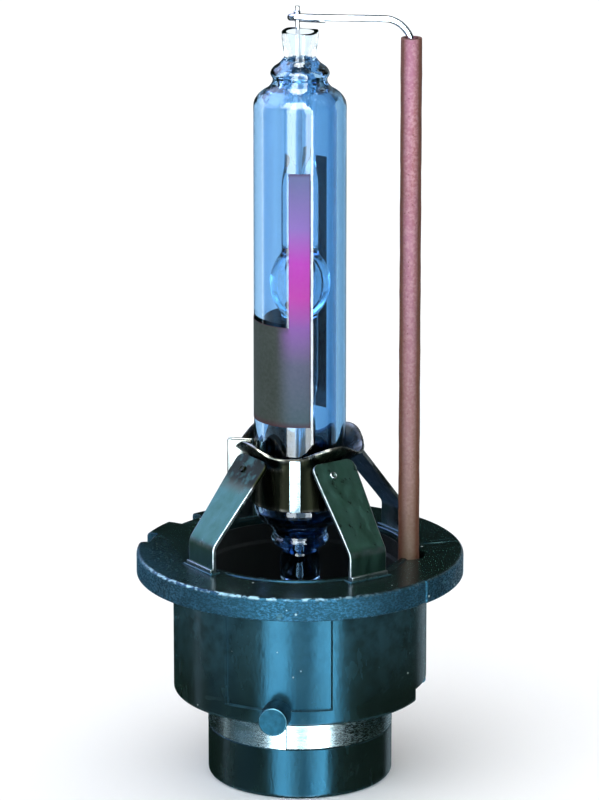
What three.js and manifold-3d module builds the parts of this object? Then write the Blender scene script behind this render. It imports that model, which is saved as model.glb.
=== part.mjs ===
// Gas-discharge headlight bulb with a prefocus flange, as an assembly of separate pieces.
// Millimetres. The origin is the centre of the plug's bottom face, +Z runs along the bulb's axis
// to its tip, +X points to the ceramic sleeve and the two bayonet pins lie along Y.

import * as THREE from "three";
import { mergeVertices } from "three/addons/utils/BufferGeometryUtils.js";
import Module from "manifold-3d";

const wasm = await Module();
wasm.setup();

// ---------------------------------------------------------------- driving dimensions

const GAP = 0.1; // clearance between concentric or stacked pieces
const ROUND = 60; // facets round the base
const GLASS_ROUND = 36; // facets round the glass

const FLANGE = { radius: 16.1, top: 22.95, thickness: 2.3, bore: 10.25, edge: 0.4 };
const KEYS = [
  { angle: 176.8, width: 3.0, depth: 0.9 },
  { angle: 149.5, width: 3.6, depth: 1.45 },
];
const BODY = { radius: 12.5, bottom: 8.7, recess: 9.9, floorTop: 14, floorBottom: 11.6, edge: 0.35 };
const PANEL = { angle: -90, half: 25, bottom: 10.3, depth: 0.35 };
const FOOT_NOTCH = { angle: 0, half: 13.7, depth: 1.15, height: 1.4 };
const PLUG = { radius: 9.1, bore: 7.3, neck: 8.6, top: 11.5, cavity: 10, edge: 0.5 };
const CONTACT_RING = { bottom: 5.15, top: 8.6, thickness: 0.4, seam: -88, seamHalf: 0.6 };
const POST = { radius: 2.4, bottom: 2, tipBottom: 3.2, tipRadius: 1.3 };
const PIN_CONTACT = { radius: 0.65, bottom: 1.2, top: 13.6 };
const LUG = { radius: 1.43, height: 9.85, end: 14.6, root: 10.4, edge: 0.12 };

const LIGHT_CENTRE = 50.15;
const JACKET = { radius: 4.5, wall: 0.95, low: 27.4, high: 67.6, end: 5.0 };
const NECK = { tube: 1.5, crown: 1.9, reach: 7.3 };
const VESSEL = { radius: 2.95, half: 3.4, cavity: 1.4, cavityHalf: 2.5 };
const PINCH = { width: 3.4, thickness: 2.0, length: 6.5 };
const FOIL = { width: 1.5, thickness: 0.12, start: 4.6, end: 8.6 };
const ELECTRODE = { radius: 0.15, tip: 1.9 };
const LEAD = { radius: 0.22, x: -0.25, tip: 77.35 };

const SLEEVE = { x: 10.83, radius: 1.05, bore: 0.68, bottom: 21.05, top: 74.7, socket: 1.7 };
const RETURN_WIRE = { radius: 0.33, bar: 76.45, foldBack: 76.0, foldEnd: 2.3, loop: 0.65 };
const STRAP = { width: 1.6, bottom: 8.8, thickness: 0.25, reach: 0.3 };

const CLAMP = { radius: 4.97, thickness: 0.32, bottom: 28.2, top: 33.3, flare: 6.35, flareTop: 34.7 };
const CLAMP_EAR = { reach: 7.2, bottom: 29.2, top: 33.9, thickness: 0.35, half: 0.18 };
const CLAMP_STRAP = { angle: -85, width: 1.1, thickness: 0.18 };
const LEG = { width: 4.25, thickness: 0.4, foot: 11.5, footBottom: 21.1, knee: 25.5, tip: 5.3, tipZ: 33.1 };
const LEG_ANGLES = {
  support_leg_front_right: -45,
  support_leg_rear_right: 45,
  support_leg_rear_left: 135,
  support_leg_front_left: -135,
};

const COATING = { inner: 4.56, outer: 4.64, bottom: 36.6, bandTop: 46.6, stripeTop: 61.9 };
const STRIPES = { front: -80, back: 72, width: 28 };

// ---------------------------------------------------------------- shape helpers

const rad = THREE.MathUtils.degToRad;

// A turned piece: the outline is a list of [radius, height] points, run up its outside.
function turned(outline, facets) {
  const points = outline.map(([r, z]) => new THREE.Vector2(r, z));
  return new THREE.LatheGeometry(points, facets).rotateX(Math.PI / 2);
}

// A turned piece with a hole through it: the outline closes on itself.
function turnedRing(outline, facets) {
  return turned([...outline, outline[0]], facets);
}

// A piece of a tube wall between two angles.
function sector(inner, outer, from, to, bottom, top, curveSegments = 6) {
  const shape = new THREE.Shape();
  shape.absarc(0, 0, outer, rad(from), rad(to), false);
  shape.absarc(0, 0, inner, rad(to), rad(from), true);
  const settings = { depth: top - bottom, bevelEnabled: false, curveSegments };
  return new THREE.ExtrudeGeometry(shape, settings).translate(0, 0, bottom);
}

function block([x0, x1], [y0, y1], [z0, z1]) {
  const box = new THREE.BoxGeometry(x1 - x0, y1 - y0, z1 - z0);
  return box.translate((x0 + x1) / 2, (y0 + y1) / 2, (z0 + z1) / 2);
}

function post(radius, bottom, top, facets = 16) {
  const cylinder = new THREE.CylinderGeometry(radius, radius, top - bottom, facets);
  return cylinder.rotateX(Math.PI / 2).translate(0, 0, (bottom + top) / 2);
}

// A round wire along a curve.
function wire(curve, radius, steps, sides = 8) {
  const section = new THREE.Shape();
  section.absarc(0, 0, radius, 0, 2 * Math.PI, false);
  const settings = { steps, curveSegments: sides / 2, bevelEnabled: false, extrudePath: curve };
  return new THREE.ExtrudeGeometry(section, settings);
}

// The outline of a bent strip of even thickness, from its centre line.
function stripShape(line, thickness) {
  const heading = (from, to) => to.clone().sub(from).normalize();
  const near = [];
  const far = [];
  line.forEach((point, i) => {
    const into = i > 0 ? heading(line[i - 1], point) : heading(point, line[1]);
    const out = i < line.length - 1 ? heading(point, line[i + 1]) : into;
    const along = into.clone().add(out).normalize();
    const offset = new THREE.Vector2(-along.y, along.x).multiplyScalar(thickness / 2 / along.dot(into));
    near.push(point.clone().sub(offset));
    far.unshift(point.clone().add(offset));
  });
  return new THREE.Shape([...near, ...far]);
}

// ---------------------------------------------------------------- joining and cutting

function solid(geometry) {
  const bare = geometry.clone();
  bare.deleteAttribute("normal");
  bare.deleteAttribute("uv");
  const merged = mergeVertices(bare, 1e-4);
  const index = merged.index.array;
  const triVerts = [];
  for (let i = 0; i < index.length; i += 3) {
    const [a, b, c] = [index[i], index[i + 1], index[i + 2]];
    if (a !== b && b !== c && c !== a) triVerts.push(a, b, c);
  }
  return new wasm.Manifold(
    new wasm.Mesh({
      numProp: 3,
      vertProperties: Float32Array.from(merged.attributes.position.array),
      triVerts: Uint32Array.from(triVerts),
    }),
  );
}

function shell(manifold) {
  const mesh = manifold.getMesh();
  const geometry = new THREE.BufferGeometry();
  geometry.setAttribute("position", new THREE.BufferAttribute(mesh.vertProperties, 3));
  geometry.setIndex(new THREE.BufferAttribute(mesh.triVerts, 1));
  geometry.computeVertexNormals();
  return geometry;
}

function joined(...geometries) {
  return shell(geometries.map(solid).reduce((sum, next) => sum.add(next)));
}

function cut(geometry, ...cutters) {
  return shell(cutters.map(solid).reduce((rest, cutter) => rest.subtract(cutter), solid(geometry)));
}

// ---------------------------------------------------------------- materials

function material(color, roughness, metalness, extra = {}) {
  return new THREE.MeshStandardMaterial({ color, roughness, metalness, ...extra });
}

const blackPlastic = () => material(0x1b2b2b, 0.45, 0);
const quartz = () => material(0x9cc6ee, 0.05, 0, { transparent: true, opacity: 0.35 });
const springSteel = () => material(0x7b8a84, 0.35, 1);
const brightMetal = () => material(0xe8ecee, 0.2, 1);
const refractoryMetal = () => material(0x8c9096, 0.4, 1);

const group = new THREE.Group();

function add(name, geometry, finish) {
  const mesh = new THREE.Mesh(geometry, finish);
  mesh.name = name;
  group.add(mesh);
  return mesh;
}

// ---------------------------------------------------------------- base

const flangeBottom = FLANGE.top - FLANGE.thickness;
const bodyTop = flangeBottom;

// Where a leg's foot stands, with room round it.
function footSlot(angle) {
  const half = LEG.thickness / 2 + GAP;
  const slot = block(
    [LEG.foot - half, LEG.foot + half],
    [-LEG.width / 2 - GAP, LEG.width / 2 + GAP],
    [LEG.footBottom - GAP, FLANGE.top + 1],
  );
  return slot.rotateZ(rad(angle));
}

function keyNotch({ angle, width, depth }) {
  const notch = block(
    [FLANGE.radius - depth, FLANGE.radius + 2],
    [-width / 2, width / 2],
    [flangeBottom - 1, FLANGE.top + 1],
  );
  return notch.rotateZ(rad(angle));
}

function referenceFlange() {
  const { radius, top, bore, edge } = FLANGE;
  const ring = turnedRing(
    [
      [bore, flangeBottom + GAP],
      [BODY.radius + GAP, flangeBottom + GAP],
      [BODY.radius + GAP, flangeBottom],
      [radius, flangeBottom],
      [radius, top - edge],
      [radius - edge * 0.3, top - edge * 0.3],
      [radius - edge, top],
      [bore, top],
    ],
    ROUND,
  );
  const socket = post(SLEEVE.socket, SLEEVE.bottom - GAP, top + 1, 20).translate(SLEEVE.x, 0, 0);
  const wireHole = post(0.5, flangeBottom - 1, top, 12).translate(SLEEVE.x, 0, 0);
  const slots = Object.values(LEG_ANGLES).map(footSlot);
  return cut(ring, socket, wireHole, ...slots, ...KEYS.map(keyNotch));
}

function lugBore(angle) {
  const radius = LUG.radius + GAP;
  const bore = new THREE.CylinderGeometry(radius, radius, 6, 24).rotateZ(Math.PI / 2);
  return bore.translate(LUG.root + 3 - GAP, 0, LUG.height).rotateZ(rad(angle));
}

function baseBody() {
  const { radius, bottom, recess, floorTop, floorBottom, edge } = BODY;
  const plugSeat = PLUG.neck + GAP;
  const leadHole = PIN_CONTACT.radius + GAP;
  const shellOutline = [
    [plugSeat, bottom],
    [radius - edge, bottom],
    [radius, bottom + edge],
    [radius, bodyTop],
    [recess, bodyTop],
    [recess, floorTop],
    [leadHole, floorTop],
    [leadHole, floorBottom],
    [plugSeat, floorBottom],
  ];
  const panel = sector(
    radius - PANEL.depth,
    radius + 1,
    PANEL.angle - PANEL.half,
    PANEL.angle + PANEL.half,
    PANEL.bottom,
    bodyTop + 1,
  );
  const footNotch = sector(
    radius - FOOT_NOTCH.depth,
    radius + 1,
    FOOT_NOTCH.angle - FOOT_NOTCH.half,
    FOOT_NOTCH.angle + FOOT_NOTCH.half,
    bottom - 1,
    bottom + FOOT_NOTCH.height,
    3,
  );
  const strapHalf = STRAP.width / 2 + GAP;
  const strapGroove = block(
    [plugSeat - 1, SLEEVE.x + STRAP.reach + GAP],
    [-strapHalf, strapHalf],
    [bottom - 1, STRAP.bottom + STRAP.thickness + GAP],
  );
  const wireHole = post(0.5, bottom, bodyTop + 1, 12).translate(SLEEVE.x, 0, 0);
  const bores = [lugBore(-90), lugBore(90)];
  return cut(turnedRing(shellOutline, ROUND), panel, footNotch, strapGroove, wireHole, ...bores);
}

function plugBarrel() {
  const { radius, bore, neck, top, cavity, edge } = PLUG;
  const ringSeat = CONTACT_RING.bottom - GAP;
  const contactHole = PIN_CONTACT.radius + GAP;
  return turnedRing(
    [
      [bore, 0],
      [radius - edge, 0],
      [radius - edge * 0.3, edge * 0.3],
      [radius, edge],
      [radius, ringSeat],
      [neck, ringSeat],
      [neck, top],
      [contactHole, top],
      [contactHole, cavity],
      [bore, cavity],
    ],
    ROUND,
  );
}

function contactRing() {
  const { bottom, top, thickness, seam, seamHalf } = CONTACT_RING;
  const inner = PLUG.radius - thickness;
  return sector(inner, PLUG.radius, seam + seamHalf, seam + 360 - seamHalf, bottom, top, ROUND / 2);
}

function centreInsulator() {
  const hole = PIN_CONTACT.radius + GAP;
  return turnedRing(
    [
      [hole, POST.bottom],
      [POST.tipRadius, POST.bottom],
      [POST.radius, POST.tipBottom],
      [POST.radius, PLUG.cavity - GAP],
      [hole, PLUG.cavity - GAP],
    ],
    28,
  );
}

function centreContact() {
  const { radius, bottom, top } = PIN_CONTACT;
  return turned(
    [
      [0, bottom],
      [radius * 0.5, bottom],
      [radius, bottom + 0.5],
      [radius, top],
      [0, top],
    ],
    16,
  );
}

function bayonetPin(angle) {
  const { radius, root, end, edge } = LUG;
  const pin = turned(
    [
      [0, root],
      [radius, root],
      [radius, end - edge],
      [radius - edge, end],
      [0, end],
    ],
    24,
  );
  return pin.rotateY(Math.PI / 2).translate(0, 0, LUG.height).rotateZ(rad(angle));
}

add("base_body", baseBody(), blackPlastic());
add("reference_flange", referenceFlange(), material(0x24383b, 0.35, 0));
add("plug_barrel", plugBarrel(), blackPlastic());
add("contact_ring", contactRing(), brightMetal());
add("centre_insulator", centreInsulator(), material(0x26302f, 0.5, 0));
add("centre_contact", centreContact(), brightMetal());
add("bayonet_pin_front", bayonetPin(-90), material(0x39606a, 0.4, 1));
add("bayonet_pin_rear", bayonetPin(90), material(0x39606a, 0.4, 1));

// ---------------------------------------------------------------- glass

// Half of the jacket's drawn-in end, as [radius, distance past the end of the straight wall].
const jacketEnd = [
  [JACKET.radius, 0],
  [4.38, 0.55],
  [4.0, 1.05],
  [3.67, 1.4],
  [3.2, 1.75],
  [2.7, 2.3],
  [2.62, 2.7],
  [2.86, 3.2],
  [2.5, 3.75],
  [1.95, 4.3],
];

function outerJacket() {
  const { radius, wall, low, high, end } = JACKET;
  const bore = NECK.tube + GAP;
  const inside = radius - wall;
  const outerLow = jacketEnd.map(([r, past]) => [r, low - past]).reverse();
  const outerHigh = jacketEnd.map(([r, past]) => [r, high + past]);
  const innerHigh = [
    [bore, high + end - 0.3],
    [bore, high + 2.2],
    [2.4, high + 1.2],
    [inside, high - 0.4],
  ];
  const innerLow = [
    [inside, low + 0.4],
    [2.4, low - 1.2],
    [bore, low - 2.2],
    [bore, low - end + 0.3],
  ];
  return turnedRing([...outerLow, ...outerHigh, ...innerHigh, ...innerLow], GLASS_ROUND);
}

// The vessel is an ellipsoid of revolution; slices of it from its equator towards one end.
function vesselSlices(radius, half, count, stop) {
  return Array.from({ length: count }, (_, i) => {
    const turn = (i / (count - 1)) * stop;
    return [radius * Math.cos(turn), half * Math.sin(turn)];
  });
}

function mirrored(slices) {
  const lower = slices.slice(1).reverse();
  return [...lower.map(([r, z]) => [r, LIGHT_CENTRE - z]), ...slices.map(([r, z]) => [r, LIGHT_CENTRE + z])];
}

function arcTube() {
  const { tube, crown, reach } = NECK;
  const top = JACKET.high + reach;
  const bottom = JACKET.low - reach;
  const outside = turned(
    [
      [0, bottom],
      [crown, bottom],
      [crown, bottom + 0.7],
      [tube, bottom + 2.6],
      ...mirrored(vesselSlices(VESSEL.radius, VESSEL.half, 7, 1.02)),
      [tube, top - 2.6],
      [crown, top - 0.7],
      [crown, top],
      [0, top],
    ],
    24,
  );
  const seal = (side) => {
    const near = LIGHT_CENTRE + side * (VESSEL.half - 0.6);
    const far = LIGHT_CENTRE + side * (VESSEL.half + PINCH.length);
    return block(
      [-PINCH.width / 2, PINCH.width / 2],
      [-PINCH.thickness / 2, PINCH.thickness / 2],
      [Math.min(near, far), Math.max(near, far)],
    );
  };
  const cavity = turned([...mirrored(vesselSlices(VESSEL.cavity, VESSEL.cavityHalf, 5, Math.PI / 2))], 16);
  const electrodeBore = post(
    ELECTRODE.radius + GAP,
    LIGHT_CENTRE - FOIL.start - 0.2,
    LIGHT_CENTRE + FOIL.start + 0.2,
    10,
  );
  const foilSlot = (side) => {
    const near = LIGHT_CENTRE + side * (FOIL.start - GAP);
    const far = LIGHT_CENTRE + side * (FOIL.end + GAP);
    const half = FOIL.thickness / 2 + GAP;
    return block(
      [-FOIL.width / 2 - GAP, FOIL.width / 2 + GAP],
      [-half, half],
      [Math.min(near, far), Math.max(near, far)],
    );
  };
  const tubeBore = 0.75;
  const boreHigh = post(tubeBore, LIGHT_CENTRE + FOIL.end - 0.2, top + 1, 16);
  const boreLow = post(tubeBore, bottom - 1, LIGHT_CENTRE - FOIL.end + 0.2, 16);
  const mouth = [
    [0, top - 1.2],
    [tubeBore, top - 1.2],
    [crown - 0.4, top + 0.05],
    [0, top + 0.05],
  ];
  const whole = joined(outside, seal(1), seal(-1));
  return cut(whole, cavity, electrodeBore, foilSlot(1), foilSlot(-1), boreHigh, boreLow, turned(mouth, 16));
}

function electrode(side) {
  const tip = LIGHT_CENTRE + side * ELECTRODE.tip;
  const root = LIGHT_CENTRE + side * (FOIL.start - 2 * GAP);
  return post(ELECTRODE.radius, Math.min(tip, root), Math.max(tip, root), 10);
}

function foil(side) {
  const near = LIGHT_CENTRE + side * FOIL.start;
  const far = LIGHT_CENTRE + side * FOIL.end;
  const flat = stripShape(
    [new THREE.Vector2(0, Math.min(near, far)), new THREE.Vector2(0, Math.max(near, far))],
    FOIL.thickness,
  );
  const settings = { depth: FOIL.width, bevelEnabled: false };
  const strip = new THREE.ExtrudeGeometry(flat, settings).translate(0, 0, -FOIL.width / 2);
  return strip.rotateX(Math.PI / 2).rotateZ(Math.PI / 2);
}

function upperLead() {
  const start = LIGHT_CENTRE + FOIL.end + 2 * GAP;
  const curve = new THREE.CatmullRomCurve3([
    new THREE.Vector3(0, 0, start),
    new THREE.Vector3(0, 0, JACKET.high),
    new THREE.Vector3(LEAD.x, 0, JACKET.high + NECK.reach - 0.4),
    new THREE.Vector3(LEAD.x, 0, LEAD.tip),
  ]);
  return wire(curve, LEAD.radius, 16);
}

function lowerLead() {
  const end = LIGHT_CENTRE - FOIL.end - 2 * GAP;
  return post(LEAD.radius, PIN_CONTACT.top + GAP, end, 10);
}

function shieldCoating() {
  const { inner, outer, bottom, bandTop, stripeTop } = COATING;
  const half = STRIPES.width / 2;
  const band = sector(inner, outer, STRIPES.back - half, 360 + STRIPES.front + half, bottom, bandTop, 16);
  const stripe = (angle) => sector(inner, outer, angle - half, angle + half, bottom, stripeTop, 2);
  return joined(band, stripe(STRIPES.front), stripe(STRIPES.back));
}

add("outer_jacket", outerJacket(), quartz());
add("arc_tube", arcTube(), quartz());
add("upper_electrode", electrode(1), refractoryMetal());
add("lower_electrode", electrode(-1), refractoryMetal());
add("upper_foil", foil(1), refractoryMetal());
add("lower_foil", foil(-1), refractoryMetal());
add("upper_lead", upperLead(), brightMetal());
add("lower_lead", lowerLead(), brightMetal());
add("shield_coating", shieldCoating(), material(0x5b3f63, 0.7, 0));

// ---------------------------------------------------------------- clamp and legs

function clampBand() {
  const { radius, thickness, bottom, top, flare, flareTop } = CLAMP;
  const inner = radius - thickness;
  const opening = 2.4;
  const band = sector(inner, radius, -180 + opening, 180 - opening, bottom, top, 18);
  const collar = turnedRing(
    [
      [inner, top - 0.6],
      [radius, top - 0.6],
      [radius + 0.1, top - 0.1],
      [flare, flareTop - 0.25],
      [flare - 0.2, flareTop],
      [inner, top + 0.1],
    ],
    36,
  );
  const tabs = Object.values(LEG_ANGLES).map((angle) => sector(1, 9, angle - 31, angle + 31, bottom, 36, 2));
  const windows = tabs.map(solid).reduce((sum, next) => sum.add(next));
  const flared = shell(solid(collar).intersect(windows));
  const ear = (side) =>
    block(
      [-CLAMP_EAR.reach, -radius + 0.15],
      [CLAMP_EAR.half * side, (CLAMP_EAR.half + CLAMP_EAR.thickness) * side].sort((a, b) => a - b),
      [CLAMP_EAR.bottom, CLAMP_EAR.top],
    );
  const slit = block([-9, -3], [-CLAMP_EAR.half, CLAMP_EAR.half], [bottom - 1, flareTop + 1]);
  const jacketRoom = post(JACKET.radius + 0.08, bottom - 1, flareTop + 1, GLASS_ROUND);
  return cut(joined(band, flared, ear(1), ear(-1)), slit, jacketRoom);
}

function clampStrap() {
  const { angle, width, thickness } = CLAMP_STRAP;
  const near = CLAMP.radius + 0.05;
  const strap = block([near, near + thickness], [-width / 2, width / 2], [CLAMP.bottom, CLAMP.top - 0.1]);
  return strap.rotateZ(rad(angle));
}

function supportLeg(angle) {
  const { width, thickness, foot, footBottom, knee, tip, tipZ } = LEG;
  const line = [
    new THREE.Vector2(foot, footBottom),
    new THREE.Vector2(foot, knee - 0.4),
    new THREE.Vector2(foot - 0.25, knee + 0.25),
    new THREE.Vector2(tip, tipZ),
  ];
  const settings = { depth: width, bevelEnabled: false };
  const strip = new THREE.ExtrudeGeometry(stripShape(line, thickness), settings);
  return strip.translate(0, 0, -width / 2).rotateX(Math.PI / 2).rotateZ(rad(angle));
}

add("clamp_band", clampBand(), springSteel());
add("clamp_strap", clampStrap(), brightMetal());
Object.entries(LEG_ANGLES).forEach(([name, angle]) => add(name, supportLeg(angle), springSteel()));

// ---------------------------------------------------------------- return conductor and sleeve

function returnBar() {
  const { bar, foldBack, foldEnd, loop } = RETURN_WIRE;
  const turn = (degrees, z) =>
    new THREE.Vector3(LEAD.x + loop * Math.cos(rad(degrees)), loop * Math.sin(rad(degrees)), z);
  const curve = new THREE.CatmullRomCurve3(
    [
      new THREE.Vector3(foldEnd, loop, foldBack),
      new THREE.Vector3(1.0, loop, foldBack),
      turn(90, foldBack + 0.05),
      turn(135, foldBack + 0.15),
      turn(180, foldBack + 0.25),
      turn(225, bar - 0.1),
      turn(270, bar),
      new THREE.Vector3(2.5, -loop, bar),
      new THREE.Vector3(7.2, -0.15, bar),
      new THREE.Vector3(8.95, 0, bar - 0.1),
      new THREE.Vector3(9.7, 0, bar - 0.45),
      new THREE.Vector3(10.3, 0, bar - 1.02),
      new THREE.Vector3(10.66, 0, SLEEVE.top + 0.1),
      new THREE.Vector3(10.8, 0, SLEEVE.top - 0.8),
      new THREE.Vector3(SLEEVE.x, 0, SLEEVE.top - 2.2),
    ],
    false,
    "centripetal",
  );
  return wire(curve, RETURN_WIRE.radius, 64);
}

function returnRod() {
  const bottom = STRAP.bottom + STRAP.thickness + GAP;
  return post(RETURN_WIRE.radius, bottom, SLEEVE.top - 2.5, 12).translate(SLEEVE.x, 0, 0);
}

function returnStrap() {
  const { width, bottom, thickness } = STRAP;
  const inner = PLUG.neck + GAP;
  return block([inner, SLEEVE.x + STRAP.reach], [-width / 2, width / 2], [bottom, bottom + thickness]);
}

function ceramicSleeve() {
  const { radius, bore, bottom, top, x } = SLEEVE;
  const tube = turnedRing(
    [
      [bore, bottom],
      [radius, bottom],
      [radius, top],
      [bore, top],
    ],
    20,
  );
  return tube.translate(x, 0, 0);
}

add("return_bar", returnBar(), brightMetal());
add("return_rod", returnRod(), brightMetal());
add("return_strap", returnStrap(), brightMetal());
add("ceramic_sleeve", ceramicSleeve(), material(0xa2614e, 0.7, 0));

export default group;
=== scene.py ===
"""Gas-discharge headlight bulb: the finished pieces, their materials and the studio, on the packed frame.

Sizes in the property groups are metres. Outlines inside the operators are millimetres: [radius, height] pairs
on the bulb's axis, angles in degrees counted from +X, where the ceramic sleeve stands.
"""

import math
from types import SimpleNamespace

import bmesh
import bpy
import numpy as np
from bpy.props import FloatProperty, FloatVectorProperty, IntProperty, PointerProperty
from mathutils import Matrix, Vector


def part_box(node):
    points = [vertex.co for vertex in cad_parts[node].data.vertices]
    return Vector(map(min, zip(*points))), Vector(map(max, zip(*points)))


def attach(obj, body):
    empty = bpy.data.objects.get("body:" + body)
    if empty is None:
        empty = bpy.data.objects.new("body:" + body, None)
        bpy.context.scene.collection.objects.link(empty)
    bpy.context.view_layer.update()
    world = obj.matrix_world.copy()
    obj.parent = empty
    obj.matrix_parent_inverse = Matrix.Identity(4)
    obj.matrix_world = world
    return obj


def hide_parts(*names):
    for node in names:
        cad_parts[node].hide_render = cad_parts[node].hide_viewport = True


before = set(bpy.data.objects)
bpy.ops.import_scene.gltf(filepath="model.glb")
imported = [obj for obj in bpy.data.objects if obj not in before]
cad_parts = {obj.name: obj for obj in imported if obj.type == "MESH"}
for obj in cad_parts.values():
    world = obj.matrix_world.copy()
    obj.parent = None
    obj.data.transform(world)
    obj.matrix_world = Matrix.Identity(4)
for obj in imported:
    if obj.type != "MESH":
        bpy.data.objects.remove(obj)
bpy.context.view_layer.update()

bl_info = {
    "name": "Headlight bulb",
    "version": (1, 0, 0),
    "blender": (4, 5, 0),
    "location": "3D View > Sidebar > Bulb",
    "description": "Builds a gas-discharge headlight bulb and the studio it stands in",
    "category": "Add Mesh",
}

MM = 0.001
BULB = "bulb"
SLEEVE = "sleeve"
LEG_ANGLES = (-45, 45, 135, -135)
FIRST_LEG = math.radians(LEG_ANGLES[0])


# ---------------------------------------------------------------- sizes and colours

def low(node):
    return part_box(node)[0]


def high(node):
    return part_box(node)[1]


def length(name, default, description):
    return FloatProperty(name=name, default=default, description=description, unit="LENGTH", precision=5)


def degrees(name, default, description):
    return FloatProperty(name=name, default=math.radians(default), description=description, subtype="ANGLE")


def colour(name, default, description):
    return FloatVectorProperty(
        name=name, default=default, description=description, subtype="COLOR", size=3, min=0, max=1
    )


class BulbSizes(bpy.types.PropertyGroup):
    """Driving sizes, taken from the frame's own boxes where it has them"""

    flange_radius: length("Flange radius", high("reference_flange").y, "Outer radius of the flange")
    flange_top: length("Flange top", high("reference_flange").z, "Height of the reference face")
    flange_bottom: length("Flange underside", low("reference_flange").z, "Height of the flange's underside")
    recess_radius: length("Recess radius", 10.25 * MM, "Radius of the burner recess in the flange")
    body_radius: length("Housing radius", high("base_body").x, "Outer radius of the housing")
    body_bottom: length("Housing bottom", low("base_body").z, "Height of the housing's lower face")
    plug_radius: length("Plug radius", high("plug_barrel").x, "Outer radius of the plug")
    plug_top: length("Plug top", high("plug_barrel").z, "Height of the plug's closed end")
    ring_bottom: length("Contact ring bottom", low("contact_ring").z, "Lower edge of the contact ring")
    ring_top: length("Contact ring top", high("contact_ring").z, "Upper edge of the contact ring")
    lug_radius: length("Lug radius", high("bayonet_pin_front").x, "Radius of a bayonet pin")
    lug_reach: length("Lug reach", high("bayonet_pin_rear").y, "How far a bayonet pin reaches from the axis")
    jacket_radius: length("Jacket radius", high("outer_jacket").x, "Outer radius of the glass jacket")
    jacket_wall: length("Jacket wall", 0.95 * MM, "Wall of the glass jacket")
    jacket_low: length("Jacket low end", 27.4 * MM, "Where the jacket's straight wall begins")
    jacket_high: length("Jacket high end", 67.6 * MM, "Where the jacket's straight wall ends")
    burner_low: length("Burner low end", low("arc_tube").z, "Lower end of the burner's tube")
    burner_high: length("Burner high end", high("arc_tube").z, "Upper end of the burner's tube")
    vessel_radius: length("Vessel radius", high("arc_tube").x, "Outer radius of the discharge vessel")
    light_centre: length("Light centre", 50.15 * MM, "Height of the discharge vessel's middle")
    sleeve_radius: length("Sleeve radius", high("ceramic_sleeve").y, "Outer radius of the ceramic sleeve")
    sleeve_offset: length("Sleeve offset", 10.83 * MM, "Distance of the ceramic sleeve from the axis")
    sleeve_low: length("Sleeve foot", low("ceramic_sleeve").z, "Lower end of the ceramic sleeve")
    sleeve_high: length("Sleeve top", high("ceramic_sleeve").z, "Upper end of the ceramic sleeve")
    wire_radius: length("Wire radius", 0.33 * MM, "Radius of the return wire")
    wire_height: length("Wire height", 76.45 * MM, "Height of the return wire's cross bar")
    leg_width: length("Leg width", 4.25 * MM, "Width of a support leg")
    leg_thickness: length("Leg thickness", 0.4 * MM, "Thickness of a support leg")
    clamp_bottom: length("Clamp bottom", low("clamp_band").z, "Lower edge of the clamp")
    clamp_top: length("Clamp top", high("clamp_band").z, "Highest point of the clamp's collar")
    band_low: length("Shield bottom", low("shield_coating").z, "Lower edge of the shield coating")
    band_high: length("Shield band top", 46.6 * MM, "Upper edge of the shield's band")
    stripe_high: length("Shield stripe top", high("shield_coating").z, "Upper end of the shield's stripes")
    leg_count: IntProperty(name="Legs", default=4, min=2, max=8, description="How many legs hold the clamp")


class BulbColours(bpy.types.PropertyGroup):
    """Base colours of the finishes, in linear light"""

    plastic: colour("Plastic", (0.004, 0.009, 0.007), "Housing and plug")
    plastic_gloss: colour("Plastic gloss tint", (0.1, 0.52, 0.88), "Tint of the plastic's reflections")
    rim: colour("Flange rim", (0.002, 0.007, 0.007), "Blasted rim of the flange")
    tin: colour("Tinned metal", (0.29, 0.38, 0.42), "Contact ring and wires")
    lug: colour("Lug steel", (0.005, 0.024, 0.038), "Bayonet pins")
    leg: colour("Leg steel", (0.035, 0.082, 0.066), "Support legs")
    clamp: colour("Clamp steel", (0.02, 0.021, 0.013), "Clamp and collar")
    # The jacket's tint on its darker +X side, then on its paler -X side: painted shade and painted light
    # across it.
    glass: colour("Glass", (0.25, 0.49, 0.73), "Tint of the outer jacket")
    glass_lit_side: colour("Pale glass", (0.47, 0.7, 0.93), "Tint of the outer jacket on its paler side")
    burner: colour("Burner glass", (0.88, 0.96, 1.0), "Tint of the burner")
    shield: colour("Shield", (0.024, 0.034, 0.027), "Shield coating on its dark side")
    ceramic: colour("Ceramic", (0.31, 0.12, 0.185), "Ceramic sleeve")
    floor: colour("Floor", (0.93, 0.935, 0.94), "Studio floor")


class StudioSettings(bpy.types.PropertyGroup):
    """Camera and light"""

    azimuth: degrees("Camera azimuth", 10.5, "Turn of the camera round the bulb")
    elevation: degrees("Camera elevation", 16.0, "Camera's height above the horizon")
    distance: length("Camera distance", 0.523, "From the target to the camera")
    target_height: length("Target height", 38.15 * MM, "Height of the point looked at")
    lens: FloatProperty(name="Lens", default=240.9, min=20, description="Focal length in millimetres")
    key_power: FloatProperty(name="Key light", default=0.8, min=0, description="Power of the key softbox")
    fill_power: FloatProperty(name="Fill light", default=0.35, min=0, description="Power of the fill softbox")
    ambient: FloatProperty(name="Ambient", default=0.97, min=0, description="Strength of the even light")


def sizes_of(context):
    """The lengths of the size group in millimetres, as plain numbers."""
    group = context.scene.bulb_sizes
    names = [name for name in BulbSizes.__annotations__ if name != "leg_count"]
    return SimpleNamespace(**{name: getattr(group, name) / MM for name in names})


# ---------------------------------------------------------------- outlines and meshes

def ramp(x, start, end):
    """0 before start, 1 after end, smooth between."""
    t = np.clip((np.asarray(x, float) - start) / (end - start), 0, 1)
    return t * t * (3 - 2 * t)


def turn_from(angle, centre):
    """Signed angle from a centre, in degrees, between -180 and 180."""
    return (np.asarray(angle, float) - centre + 180) % 360 - 180


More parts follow.
